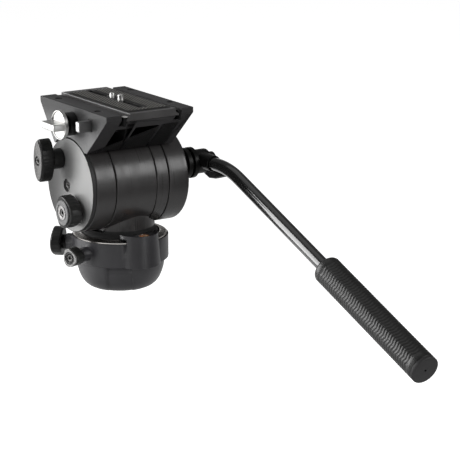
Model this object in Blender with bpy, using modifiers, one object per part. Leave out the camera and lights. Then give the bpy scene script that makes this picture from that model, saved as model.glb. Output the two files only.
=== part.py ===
"""Fluid video head: a tripod head with a pan base, a tilt barrel, a sliding camera plate and a pan handle.

Metres, +Z up. The origin is the centre of the base's flat underside, on the pan axis. +X runs along the
tilt axis towards the handle, and +Y is the direction the lens looks in.
"""

import math

import bmesh
import bpy
from mathutils import Matrix, Vector

# Fits, and how finely round shapes are divided
GAP = 0.0003
RUNNING_GAP = 0.0006
SWEEP_CLEARANCE = 0.0008
OVERRUN = 0.002
LARGE_SIDES = 48
MEDIUM_SIDES = 28
SMALL_SIDES = 16
EDGE_ROUNDING = 0.0008
SHARP_ANGLE = math.radians(32)

# Bowl and its tripod thread
BOWL_RADIUS = 0.0432
BOWL_FOOT_RADIUS = 0.0290
BOWL_HEIGHT = 0.0270
BOWL_CURVE_SHARES = ((1.0, 1.0), (0.72, 0.91), (0.5, 0.79), (0.3, 0.63), (0.15, 0.43), (0.05, 0.2), (0.0, 0.0))
BOWL_CAVITY_RADIUS = 0.0370
BOWL_FLOOR = 0.0140
FLAT_WIDTH = 0.0230
FLAT_DEPTH = 0.0009
FLAT_COUNT = 3
FLAT_ANGLE = math.radians(239)
INSERT_RADIUS = 0.0080
THREAD_RADIUS = 0.0047625
INSERT_INSET = 0.0005

# Collar, with the level's housing and the bosses of the two pan knobs
COLLAR_RADIUS = 0.0465
COLLAR_TOP = 0.0505
COLLAR_BORE_RADIUS = 0.0418
COLLAR_FLOOR = 0.0037
COLLAR_FOOT_CHAMFER = 0.0005
RING_SEAT_DEPTH = 0.0003
LEVEL_HOUSING_TOP = 0.0583
LEVEL_HOUSING_RADIUS = 0.0195
LEVEL_HOUSING_FOOT_RADIUS = 0.0218
LEVEL_HOUSING_OFFSET = 0.0330
LEVEL_INNER_RADIUS = 0.0384
LEVEL_RIM = 0.0016
LEVEL_RIM_HEIGHT = 0.0010
LEVEL_OFFSET = 0.0455
VIAL_RADIUS = 0.0058
VIAL_HEIGHT = 0.0018
PAN_KNOB_HEIGHT = 0.0390

# Pan scale ring
RING_RADIUS = 0.0453
RING_TOP_RADIUS = 0.0383
RING_HEIGHT = 0.0030
RING_EDGE = 0.0006
RING_LIP = 0.0035

# Neck, barrel and what turns inside the base
NECK_RADIUS = 0.0335
SKIRT_RADIUS = 0.0368
SKIRT_BOTTOM = 0.0520
SKIRT_TOP = 0.0540
NECK_FOOT = 0.0576
NECK_SHOULDER = 0.0582
NECK_TOP = 0.0800
HUB_RADIUS = 0.0300
SPINDLE_RADIUS = 0.0070
SPINDLE_TOP = 0.0580
SPINDLE_BOTTOM = 0.0156
BUSH_WALL = 0.0027
BUSH_FLANGE_RADIUS = 0.0180
BUSH_FLANGE = 0.0030
DRAG_DISC_RADIUS = 0.0330
DRAG_DISC_THICKNESS = 0.0035
DRAG_DISC_BOTTOM = 0.0205
NUT_RADIUS = 0.0125
NUT_HEIGHT = 0.0042
NUT_SIDES = 6

# Tilt axis and the barrel's stretches along it, from the grey disc on the left to the cap on the right
BARREL_RADIUS = 0.0455
BARREL_FOOT = 0.0590
DISC_STEP = 0.0007
LEFT_END_WIDTH = 0.0255
DISC_THICKNESS = 0.0038
DISC_CHAMFER = 0.0006
HOUSING_HALF_WIDTH = 0.0285
END_RING_WIDTH = 0.0135
CAP_WIDTH = 0.0230
CAP_ROUNDING = 0.0022
BARREL_WALL = 0.0050
HOUSING_SKIN = 0.0055
SHAFT_RADIUS = 0.0110
SHAFT_OVERHANG = 0.0155
BEARING_WALL = 0.0044
BEARING_LENGTH = 0.0090
BEARING_INSET = 0.0035
ARM_RECESS_DEPTH = 0.0080
CAP_HUB_WALL = 0.0040
CAP_FLOOR = 0.0055
DISC_SCREW_PLACE = (0.0064, -0.0016)
DISC_SCREW_RADIUS = 0.0033
DISC_SCREW_POCKET_RADIUS = 0.0062
DISC_SCREW_HEAD = 0.0014
DISC_SCREW_SINK = 0.0012
DISC_SCREW_SHANK_RADIUS = 0.0018

# Counterbalance spring, fluid cartridge, drag plate and brake pads inside the barrel
SPRING_COIL_RADIUS = 0.0250
SPRING_WIRE_RADIUS = 0.0016
SPRING_TURNS = 3
SPRING_LENGTH = 0.0180
SPRING_POINTS_PER_TURN = 12
DAMPER_MARGIN = 0.0030
DAMPER_LENGTH = 0.0180
DRAG_PLATE_MARGIN = 0.0025
DRAG_PLATE_INNER_RADIUS = 0.0165
DRAG_PLATE_THICKNESS = 0.0025
BRAKE_PAD_RADIUS = 0.0060
BRAKE_PAD_THICKNESS = 0.0030

# Knobs: hub, grip body, face plate, and the long socket screw that is the stem
KNOB_OUTLINE_POINTS = 30
KNOB_EDGE = 0.0012
STEM_RADIUS = 0.0030
SOCKET_DEPTH = 0.0022
SOCKET_RADIUS = 0.0016
SCREW_HEAD_RADIUS = 0.0037
SCREW_HEAD_LENGTH = 0.0036
SCREW_HEAD_SINK = 0.0006
FACE_THICKNESS = 0.0012
TILT_LOCK_SHARES = (0.3884, 0.5156)
TILT_LOCK_RADIUS = 0.0208
TILT_LOCK_WAIST_SHARE = 0.43
TILT_LOCK_HUB = 0.0110
TILT_LOCK_HUB_RADIUS = 0.0098
TILT_LOCK_LENGTH = 0.0123
TILT_DRAG_SHARES = (-0.3237, -0.4866)
TILT_DRAG_RADIUS = 0.0165
TILT_DRAG_HUB = 0.0030
TILT_DRAG_HUB_RADIUS = 0.0090
TILT_DRAG_LENGTH = 0.0125
TILT_DRAG_FACE_RADIUS = 0.0118
PAN_LOCK_ANGLE = math.radians(137)
PAN_LOCK_RADIUS = 0.0152
PAN_LOCK_HUB = 0.0030
PAN_LOCK_HUB_RADIUS = 0.0070
PAN_LOCK_LENGTH = 0.0105
PAN_LOCK_BOSS_RADIUS = 0.0085
PAN_LOCK_BOSS_END = 0.0530
PAN_DRAG_ANGLE = math.radians(196)
PAN_DRAG_RADIUS = 0.0098
PAN_DRAG_HUB = 0.0015
PAN_DRAG_HUB_RADIUS = 0.0055
PAN_DRAG_LENGTH = 0.0105
PAN_DRAG_BOSS_RADIUS = 0.0068
PAN_DRAG_BOSS_END = 0.0555
BOSS_ROOT = 0.0435
SHOE_LENGTH = 0.0052
SHOE_HEIGHT = 0.0100
SHOE_WIDTH = 0.0120
LOBE_SHARE = 0.16
LOBES = 3
FACE_SHARE = 0.93

# Platform casting: lengths fore and aft of the tilt axis, and rises above the barrel's top
PLATFORM_RISE = 0.0316
PLATFORM_OVERHANG = 0.0107
PLATFORM_REAR = 0.0720
PLATFORM_FRONT = 0.0562
PLATFORM_LIP = 0.0050
PLATFORM_OVERLAP = 0.0096
PLATFORM_BOTTOM_REAR = 0.0332
PLATFORM_BOTTOM_FRONT = 0.0295
LEFT_RAIL_WIDTH = 0.0164
RIGHT_RAIL_WIDTH = 0.0133
CHANNEL_RISE = 0.0250
GROOVE_RISE = 0.0205
LEFT_GROOVE_WIDTH = 0.0068
RIGHT_GROOVE_WIDTH = 0.0046
POCKET_RISE = 0.0160
POCKET_WALL = 0.0220
POCKET_SKIN = 0.0045
POCKET_EDGES = (-0.0375, -0.0205, -0.0165, 0.0085, 0.0125, 0.0290)
LUG_WIDTH = 0.0100
LUG_DROP = 0.0044
LUG_RAMP_START = 0.0440
LUG_REACH = 0.0485
BEAM_SLOT_WIDTH = 0.0070
BEAM_SLOT_HEIGHT = 0.0026
BEAM_SLOT_DEPTH = 0.0050
BEAM_SLOT_X = -0.0250
BEAM_SLOT_RISE = 0.0228
RAIL_SCREW_RADIUS = 0.0031
RAIL_SCREW_DEPTH = 0.0040
RAIL_SCREW_SINK = 0.0008
RIGHT_SCREW_INSET = 0.0047
LEFT_SCREWS_Y = (0.0340, -0.0420)
RIGHT_SCREWS_Y = (0.0350, -0.0390)

# Camera plate, its pad, screw and pin
PLATE_LEFT_MARGIN = 0.0079
PLATE_RIGHT_MARGIN = 0.0056
PLATE_REAR = 0.0715
PLATE_FRONT = 0.0587
PLATE_RISE = 0.0323
PLATE_FLANGE = 0.0033
PLATE_FLANGE_EDGE = 0.0016
PLATE_SHOULDER = 0.0023
PAD_HEIGHT = 0.0008
PAD_MARGIN = 0.0020
PAD_REAR_MARGIN = 0.0065
PAD_FRONT_MARGIN = 0.0105
SLOT_WIDTH = 0.0070
SLOT_TIP_WIDTH = 0.0020
REAR_SLOT_START = 0.0170
REAR_SLOT_END = 0.0540
FRONT_SLOT_START = 0.0130
FRONT_SLOT_END = 0.0500
PLATE_TRAVEL = 0.0290
CATCH_GROOVE_DEPTH = 0.0020
CAMERA_SCREW_PLACE = -0.0125
CAMERA_SCREW_RADIUS = 0.003175
CAMERA_SCREW_STANDING = 0.0062
CAMERA_SCREW_HEAD_RADIUS = 0.0070
CAMERA_SCREW_HEAD = 0.0026
CAMERA_SCREW_HEAD_SINK = 0.0006
COIN_SLOT_WIDTH = 0.0014
COIN_SLOT_DEPTH = 0.0012
PIN_PLACE = 0.0035
PIN_RADIUS = 0.0024
PIN_STANDING = 0.0055
PIN_FLANGE_RADIUS = 0.0042
PIN_FLANGE = 0.0012
PIN_FLANGE_DEPTH = 0.0017

# Jaws that hold the plate, the plate lock and the safety release
JAW_WALL = 0.0017
JAW_RISE = 0.0302
JAW_OVERHANG = 0.0015
GIB_THICKNESS = 0.0026
GIB_LIP = 0.0017
GIB_TONGUE_RISE = 0.0115
GIB_TONGUE_HALF = 0.0110
GIB_TRAVEL = 0.0013
LOCK_Y = -0.0087
LOCK_RISE = 0.0155
LOCK_SHAFT_RADIUS = 0.0030
LOCK_COLLAR_RADIUS = 0.0110
LOCK_COLLAR_LENGTH = 0.0075
LOCK_NECK_RADIUS = 0.0075
LOCK_NECK_LENGTH = 0.0040
LOCK_DISH_RADIUS = 0.0140
LOCK_DISH_THICKNESS = 0.0036
LOCK_DISH_RIM = 0.0014
LOCK_DISH_HOLLOW = 0.0010
BLADE_LENGTH = 0.0262
BLADE_HEIGHT = 0.0066
BLADE_REACH = 0.0118
BUTTON_Y = -0.0410
BUTTON_RISE = 0.0188
BUTTON_WIDTH = 0.0070
BUTTON_HEIGHT = 0.0100
BUTTON_STANDING = 0.0135
BUTTON_SUNK = 0.0050
BUTTON_TRAVEL = 0.0032
BUTTON_EDGE = 0.0008
BUTTON_BORE_DEPTH = 0.0060
BUTTON_SPRING_RADIUS = 0.0020
BUTTON_SPRING_WIRE_RADIUS = 0.0003
BUTTON_SPRING_TURNS = 4
BUTTON_SPRING_ROOM = 0.0020
BUTTON_SPRING_POINTS_PER_TURN = 8
CATCH_RADIUS = 0.0022
CATCH_PLACE = (-0.0170, -0.0380)
CATCH_TRAVEL = 0.0022
CATCH_RISE = 0.0014
CATCH_DEPTH = 0.0045

# Handle: rosettes, clamp, lever, bent tube and grip
ROSETTE_PLACE = (-0.0300, 0.0135)
ROSETTE_RADIUS = 0.0150
ROSETTE_BORE_RADIUS = 0.0042
ROSETTE_BODY = 0.0042
ROSETTE_TOOTH = 0.0012
ROSETTE_TEETH = 20
ROSETTE_TOOTH_INNER_RADIUS = 0.0095
ROSETTE_TIP_GAP = 0.0005
CLAMP_RADIUS = 0.0118
CLAMP_LENGTH = 0.0160
SOCKET_END_RADIUS = 0.0079
SOCKET_REACH = 0.0270
TUBE_RADIUS = 0.0063
TUBE_WALL = 0.0015
TUBE_RISE = 0.0160
TUBE_START = 0.0072
TUBE_BEND_PLACE = 0.0835
TUBE_BEND_RADIUS = 0.0950
TUBE_DROP = math.radians(21.1)
TUBE_BEND_STEPS = 8
GRIP_RADIUS = 0.0133
GRIP_LENGTH = 0.1500
GRIP_START = 0.1670
GRIP_COLLAR = 0.0060
GRIP_COLLAR_STEP = 0.0005
GRIP_NOSE_RADIUS = 0.0110
GRIP_NOSE = 0.0030
GRIP_CAP_THICKNESS = 0.0035
GRIP_CAP_EDGE = 0.0006
GRIP_PLUG_LENGTH = 0.0080
GRIP_CAP_HOLE_RADIUS = 0.0012
GRIP_CAP_HOLE_DEPTH = 0.0018
BOLT_RADIUS = 0.0038
BOLT_INNER_REACH = 0.0040
LEVER_HUB_RADIUS = 0.0080
LEVER_HUB_LENGTH = 0.0072
LEVER_THICKNESS = 0.0060
LEVER_CAP = 0.0016
LEVER_DROP = 0.0170
LEVER_LENGTH = 0.0340
LEVER_SHARES = (
    (-0.23, 0.0), (-0.23, -0.59), (-0.12, -0.85), (0.12, -1.0), (0.47, -0.91), (0.94, -0.62),
    (1.0, -0.47), (0.88, -0.35), (0.44, -0.41), (0.24, -0.29), (0.18, 0.12),
)

# Places and radii that follow from the sizes above; heights are measured from the tilt axis
TILT_AXIS_HEIGHT = BARREL_FOOT + BARREL_RADIUS
DISC_RADIUS = BARREL_RADIUS - DISC_STEP
DISC_FACE = HOUSING_HALF_WIDTH + LEFT_END_WIDTH
END_RING_START = HOUSING_HALF_WIDTH - END_RING_WIDTH
CAP_END = HOUSING_HALF_WIDTH + CAP_WIDTH
SHAFT_END = HOUSING_HALF_WIDTH + SHAFT_OVERHANG
HOUSING_CAVITY_RADIUS = BARREL_RADIUS - HOUSING_SKIN
END_CAVITY_RADIUS = BARREL_RADIUS - BARREL_WALL
DAMPER_RADIUS = HOUSING_CAVITY_RADIUS - DAMPER_MARGIN
DRAG_PLATE_RADIUS = END_CAVITY_RADIUS - DRAG_PLATE_MARGIN
TILT_LOCK_PLACE = tuple(share * DISC_RADIUS for share in TILT_LOCK_SHARES)
TILT_DRAG_PLACE = tuple(share * DISC_RADIUS for share in TILT_DRAG_SHARES)
PLATFORM_TOP = BARREL_RADIUS + PLATFORM_RISE
PLATFORM_BOTTOM = BARREL_RADIUS - PLATFORM_OVERLAP
PLATFORM_RIGHT = HOUSING_HALF_WIDTH + PLATFORM_OVERHANG
CHANNEL_FLOOR = BARREL_RADIUS + CHANNEL_RISE
GROOVE_FLOOR = BARREL_RADIUS + GROOVE_RISE
CHANNEL_LEFT = -DISC_FACE + LEFT_RAIL_WIDTH
CHANNEL_RIGHT = PLATFORM_RIGHT - RIGHT_RAIL_WIDTH
POCKET_TOP = BARREL_RADIUS + POCKET_RISE
POCKET_FLOOR_RADIUS = BARREL_RADIUS + POCKET_SKIN
LEFT_SCREWS_X = -DISC_FACE + LEFT_RAIL_WIDTH / 2
RIGHT_SCREWS_X = PLATFORM_RIGHT - RIGHT_SCREW_INSET
RAIL_SCREW_PLACES = [(LEFT_SCREWS_X, y) for y in LEFT_SCREWS_Y] + [(RIGHT_SCREWS_X, y) for y in RIGHT_SCREWS_Y]
PLATE_LEFT = -CHANNEL_LEFT - PLATE_LEFT_MARGIN
PLATE_RIGHT = CHANNEL_RIGHT - PLATE_RIGHT_MARGIN
PLATE_TOP = BARREL_RADIUS + PLATE_RISE
JAW_TOP = BARREL_RADIUS + JAW_RISE
GIB_TONGUE_BOTTOM = BARREL_RADIUS + GIB_TONGUE_RISE
LOCK_PLACE = (LOCK_Y, BARREL_RADIUS + LOCK_RISE)
BUTTON_PLACE = (BUTTON_Y, BARREL_RADIUS + BUTTON_RISE)

X_AXIS = Vector((1, 0, 0))
Y_AXIS = Vector((0, 1, 0))
Z_AXIS = Vector((0, 0, 1))


def empty_the_scene():
    """Remove every object, so that the model is all there is."""
    for thing in list(bpy.data.objects):
        bpy.data.objects.remove(thing, do_unlink=True)


def new_collection(name):
    collection = bpy.data.collections.new(name)
    bpy.context.scene.collection.children.link(collection)
    return collection


empty_the_scene()
PARTS = new_collection("fluid_video_head")
CUTTERS = new_collection("cutters")


def material(name, colour, roughness, metallic=0.0):
    """A Principled material with one colour, roughness and metallic value."""
    made = bpy.data.materials.new(name)
    made.use_nodes = True
    shader = made.node_tree.nodes["Principled BSDF"]
    shader.inputs["Base Color"].default_value = (*colour, 1)
    shader.inputs["Roughness"].default_value = roughness
    shader.inputs["Metallic"].default_value = metallic
    made.diffuse_color = (*colour, 1)
    return made


BLACK_CASTING = material("black_casting", (0.028, 0.028, 0.030), 0.5)
GREY_FACE = material("grey_face", (0.20, 0.20, 0.21), 0.38, 0.6)
BLACK_PLASTIC = material("black_plastic", (0.018, 0.018, 0.019), 0.55)
BLACK_RUBBER = material("black_rubber", (0.022, 0.022, 0.022), 0.8)
GLOSS_BLACK = material("gloss_black", (0.010, 0.010, 0.011), 0.18)
SILVER = material("silver", (0.72, 0.71, 0.69), 0.28, 1.0)
STEEL = material("steel", (0.52, 0.51, 0.50), 0.32, 1.0)
BRASS = material("brass", (0.70, 0.52, 0.26), 0.35, 1.0)
AMBER = material("amber", (0.75, 0.26, 0.05), 0.2)


def facing(axis):
    """The rotation that turns local +Z to the axis given."""
    return Vector(axis).to_track_quat("Z", "Y").to_matrix().to_4x4()


def side_view():
    """The rotation of an outline drawn as (fore-aft Y, height Z), thick along X."""
    return Matrix(((0, 0, 1, 0), (1, 0, 0, 0), (0, 1, 0, 0), (0, 0, 0, 1)))


def end_view():
    """The rotation of an outline drawn as (X, height Z), thick along Y."""
    return Matrix(((1, 0, 0, 0), (0, 0, -1, 0), (0, 1, 0, 0), (0, 0, 0, 1)))


def on_tilt_axis(x, place=(0, 0)):
    """A point at x along the tilt axis, moved by a place (fore-aft, up) measured from that axis."""
    return Vector((x, place[0], TILT_AXIS_HEIGHT + place[1]))


def add_object(name, mesh, surface, at=None):
    made = bpy.data.objects.new(name, mesh)
    if surface:
        mesh.materials.append(surface)
    if at is not None:
        made.matrix_world = at
    PARTS.objects.link(made)
    return made


def mesh_from(name, bm):
    bmesh.ops.recalc_face_normals(bm, faces=bm.faces)
    mesh = bpy.data.meshes.new(name)
    bm.to_mesh(mesh)
    bm.free()
    return mesh


def box(name, low, high, surface=None):
    """A box between two opposite corners, with its origin at its centre."""
    low, high = Vector(low), Vector(high)
    bm = bmesh.new()
    bmesh.ops.create_cube(bm, size=1.0, matrix=Matrix.Diagonal((*(high - low), 1)))
    return add_object(name, mesh_from(name, bm), surface, Matrix.Translation((low + high) / 2))


def cylinder(name, start, axis, length, radius, surface=None, end_radius=None, sides=MEDIUM_SIDES):
    """A cylinder or cone that starts at a point and runs along an axis."""
    far_radius = radius if end_radius is None else end_radius
    bm = bmesh.new()
    bmesh.ops.create_cone(
        bm, cap_ends=True, segments=sides, radius1=radius, radius2=far_radius, depth=length,
        matrix=Matrix.Translation(Z_AXIS * length / 2))
    return add_object(name, mesh_from(name, bm), surface, Matrix.Translation(start) @ facing(axis))


def turned(name, profile, start, axis, surface=None, sides=LARGE_SIDES):
    """Turn a profile of (radius, distance along the axis) points, listed down the outer side first."""
    ring = profile[0][0] > 0 and profile[-1][0] > 0
    mesh = bpy.data.meshes.new(name)
    corners = [(radius, 0, along) for radius, along in profile]
    edges = [(index, index + 1) for index in range(len(corners) - 1)]
    if ring:
        edges.append((len(corners) - 1, 0))
    mesh.from_pydata(corners, edges, [])
    made = add_object(name, mesh, surface, Matrix.Translation(start) @ facing(axis))
    screw = made.modifiers.new("turn", "SCREW")
    screw.axis = "Z"
    screw.steps = sides
    screw.render_steps = sides
    screw.use_merge_vertices = True
    screw.merge_threshold = 0.00001
    screw.use_smooth_shade = False
    return made


def outline(name, points, thickness, at, surface=None):
    """A flat closed outline, thickened evenly about its own plane, made from a filled 2D curve."""
    curve = bpy.data.curves.new(name, "CURVE")
    curve.dimensions = "2D"
    curve.fill_mode = "BOTH"
    curve.extrude = thickness / 2
    spline = curve.splines.new("POLY")
    spline.points.add(len(points) - 1)
    for point, (across, up) in zip(spline.points, points):
        point.co = (across, up, 0, 1)
    spline.use_cyclic_u = True
    drawn = bpy.data.objects.new(name + "_curve", curve)
    drawn.matrix_world = at
    PARTS.objects.link(drawn)
    return mesh_of_curve(name, drawn, surface)


def mesh_of_curve(name, drawn, surface):
    """Make a mesh object of a curve object, with its caps welded, and remove the curve."""
    shot = drawn.evaluated_get(bpy.context.evaluated_depsgraph_get())
    mesh = bpy.data.meshes.new_from_object(shot)
    mesh.name = name
    at = drawn.matrix_world.copy()
    bpy.data.objects.remove(drawn, do_unlink=True)
    bm = bmesh.new()
    bm.from_mesh(mesh)
    bmesh.ops.remove_doubles(bm, verts=bm.verts, dist=0.000001)
    bmesh.ops.recalc_face_normals(bm, faces=bm.faces)
    bm.to_mesh(mesh)
    bm.free()
    mesh.materials.clear()
    return add_object(name, mesh, surface, at)


def wire(name, points, radius, surface, sides_share=2, capped=True):
    """A round wire or tube along a list of points."""
    curve = bpy.data.curves.new(name, "CURVE")
    curve.dimensions = "3D"
    curve.bevel_depth = radius
    curve.bevel_resolution = sides_share
    curve.use_fill_caps = capped
    spline = curve.splines.new("POLY")
    spline.points.add(len(points) - 1)
    for point, place in zip(spline.points, points):
        point.co = (*place, 1)
    drawn = bpy.data.objects.new(name + "_curve", curve)
    PARTS.objects.link(drawn)
    return mesh_of_curve(name, drawn, surface)


def make_cutter(thing):
    PARTS.objects.unlink(thing)
    CUTTERS.objects.link(thing)
    thing.hide_render = True
    thing.display_type = "WIRE"


def combine(target, tool, operation):
    step = target.modifiers.new(tool.name, "BOOLEAN")
    step.operation = operation
    step.solver = "EXACT"
    step.object = tool
    make_cutter(tool)


def cut(target, tool):
    combine(target, tool, "DIFFERENCE")


def join(target, tool):
    combine(target, tool, "UNION")


def keep_inside(target, tool):
    combine(target, tool, "INTERSECT")


def round_edges(thing, width=EDGE_ROUNDING, steps=1, angle=SHARP_ANGLE):
    rounding = thing.modifiers.new("round_edges", "BEVEL")
    rounding.width = width
    rounding.segments = steps
    rounding.limit_method = "ANGLE"
    rounding.angle_limit = angle


def smooth(thing):
    """Shade round sides smooth and keep the corners sharp."""
    if thing.data.polygons:
        thing.data.shade_smooth()
        thing.data.set_sharp_from_angle(angle=SHARP_ANGLE)
    else:
        thing.modifiers["turn"].use_smooth_shade = True


def lobed(radius, share, lobes):
    """An outline with soft lobes, whose tips lie on the radius."""
    points = []
    for index in range(KNOB_OUTLINE_POINTS):
        angle = 2 * math.pi * index / KNOB_OUTLINE_POINTS
        reach = radius * (1 - share * (1 - math.cos(lobes * angle)) / 2)
        points.append((reach * math.cos(angle), reach * math.sin(angle)))
    return points


def winged(reach):
    """The outline of a bar that stands upright, widest at its middle, whose tips lie on the reach."""
    points = []
    for index in range(KNOB_OUTLINE_POINTS):
        angle = 2 * math.pi * index / KNOB_OUTLINE_POINTS
        points.append((TILT_LOCK_WAIST_SHARE * reach * math.cos(angle), reach * math.sin(angle)))
    return points


def knob(prefix, seat, axis, hub, body, stem_inner, face_outline, colours):
    """A knob on a seat: a hub (radius, length), a body (outline, length), a stem screw, perhaps a face."""
    hub_radius, hub_length = hub
    body_outline, body_length = body
    axis = Vector(axis)
    body_middle = GAP + hub_length + body_length / 2
    at = Matrix.Translation(seat + axis * body_middle) @ facing(axis)
    grip = outline(prefix + "_body", body_outline, body_length, at, colours[0])
    round_edges(grip, KNOB_EDGE)
    hub_piece = cylinder(
        prefix + "_hub", seat + axis * GAP, axis, hub_length + OVERRUN, hub_radius, sides=MEDIUM_SIDES)
    join(grip, hub_piece)
    hole = cylinder(
        prefix + "_hole", seat - axis * OVERRUN, axis, hub_length + body_length + 2 * OVERRUN,
        STEM_RADIUS + GAP, sides=SMALL_SIDES)
    cut(grip, hole)
    face_seat = seat + axis * (GAP + hub_length + body_length)
    face_depth = GAP + FACE_THICKNESS if face_outline else 0
    head_depth = SCREW_HEAD_LENGTH + SCREW_HEAD_SINK - face_depth
    pocket = cylinder(
        prefix + "_pocket", face_seat - axis * head_depth, axis, head_depth + OVERRUN,
        SCREW_HEAD_RADIUS + GAP, sides=SMALL_SIDES)
    cut(grip, pocket)
    pieces = [grip]
    if face_outline:
        face_at = Matrix.Translation(face_seat + axis * (GAP + FACE_THICKNESS / 2)) @ facing(axis)
        face = outline(prefix + "_face", face_outline, FACE_THICKNESS, face_at, colours[1])
        face_hole = cylinder(
            prefix + "_face_hole", face_seat - axis * OVERRUN, axis, FACE_THICKNESS + 2 * OVERRUN,
            SCREW_HEAD_RADIUS + GAP, sides=SMALL_SIDES)
        cut(face, face_hole)
        pieces.append(face)
    head_top = GAP + hub_length + body_length + face_depth - SCREW_HEAD_SINK
    head_bottom = head_top - SCREW_HEAD_LENGTH + GAP
    screw = turned(
        prefix + "_screw",
        [(0, head_top - SOCKET_DEPTH), (SOCKET_RADIUS, head_top - SOCKET_DEPTH), (SOCKET_RADIUS, head_top),
         (SCREW_HEAD_RADIUS, head_top), (SCREW_HEAD_RADIUS, head_bottom), (STEM_RADIUS, head_bottom),
         (STEM_RADIUS, -stem_inner), (0, -stem_inner)],
        seat, axis, STEEL, SMALL_SIDES)
    return pieces + [screw]


def pivot(name, place, carrier=None):
    """An empty on a joint's axis, which carries the pieces that move with it."""
    made = bpy.data.objects.new(name, None)
    made.empty_display_size = BOWL_RADIUS
    made.matrix_world = Matrix.Translation(place)
    PARTS.objects.link(made)
    bpy.context.view_layer.update()
    if carrier:
        carry([made], carrier)
        bpy.context.view_layer.update()
    return made


def carry(pieces, carrier):
    """Hang pieces on an empty without moving them."""
    for piece in pieces:
        piece.parent = carrier
        piece.matrix_parent_inverse = carrier.matrix_world.inverted()


def spoke(angle):
    """The level direction at an angle round the pan axis."""
    return Vector((math.cos(angle), math.sin(angle), 0))


# Base: the bowl that stands on the tripod, and the collar screwed to it

COLLAR_BOTTOM = BOWL_HEIGHT + GAP
COLLAR_FLOOR_TOP = COLLAR_BOTTOM + COLLAR_FLOOR
RING_BOTTOM = COLLAR_TOP - RING_SEAT_DEPTH + GAP
BUSH_TOP = COLLAR_FLOOR_TOP + GAP + BUSH_FLANGE
HUB_BOTTOM = BUSH_TOP + RUNNING_GAP
SHOE_END = HUB_RADIUS + RUNNING_GAP + SHOE_LENGTH


def bowl_curve(inset=0.0):
    """The bowl's outer side from top to foot, with the top and the radius drawn in by an inset."""
    points = []
    for height_share, radius_share in BOWL_CURVE_SHARES:
        radius = BOWL_FOOT_RADIUS + (BOWL_RADIUS - BOWL_FOOT_RADIUS) * radius_share
        points.append((radius - inset, (BOWL_HEIGHT - inset) * height_share))
    return points


def make_bowl():
    """A cast bowl, hollow above its floor, with shallow flats down its sides."""
    hole = INSERT_RADIUS + GAP
    profile = bowl_curve() + [
        (hole, 0), (hole, BOWL_FLOOR), (BOWL_CAVITY_RADIUS, BOWL_FLOOR), (BOWL_CAVITY_RADIUS, BOWL_HEIGHT)]
    bowl = turned("base_bowl", profile, Vector(), Z_AXIS, BLACK_CASTING)
    outside = BOWL_RADIUS + OVERRUN
    flats = turned(
        "bowl_flats",
        [(outside, BOWL_HEIGHT - FLAT_DEPTH), (outside, -OVERRUN), (BOWL_FOOT_RADIUS - FLAT_DEPTH, -OVERRUN)]
        + bowl_curve(FLAT_DEPTH)[::-1],
        Vector(), Z_AXIS)
    blades = bmesh.new()
    for index in range(FLAT_COUNT):
        turn = Matrix.Rotation(FLAT_ANGLE + 2 * math.pi * index / FLAT_COUNT, 4, "Z")
        out = Matrix.Translation((outside, 0, BOWL_HEIGHT / 2))
        size = Matrix.Diagonal((outside, FLAT_WIDTH, 2 * BOWL_HEIGHT, 1))
        bmesh.ops.create_cube(blades, size=1.0, matrix=turn @ out @ size)
    keep_inside(flats, add_object("flat_blades", mesh_from("flat_blades", blades), None))
    cut(bowl, flats)
    return bowl


def make_thread_insert():
    """The brass bush in the bowl's centre that takes the tripod's screw."""
    top = BOWL_FLOOR - INSERT_INSET
    foot = INSERT_INSET
    return turned(
        "thread_insert", [(INSERT_RADIUS, top), (INSERT_RADIUS, foot), (THREAD_RADIUS, foot), (THREAD_RADIUS, top)],
        Vector(), Z_AXIS, BRASS, MEDIUM_SIDES)


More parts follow.
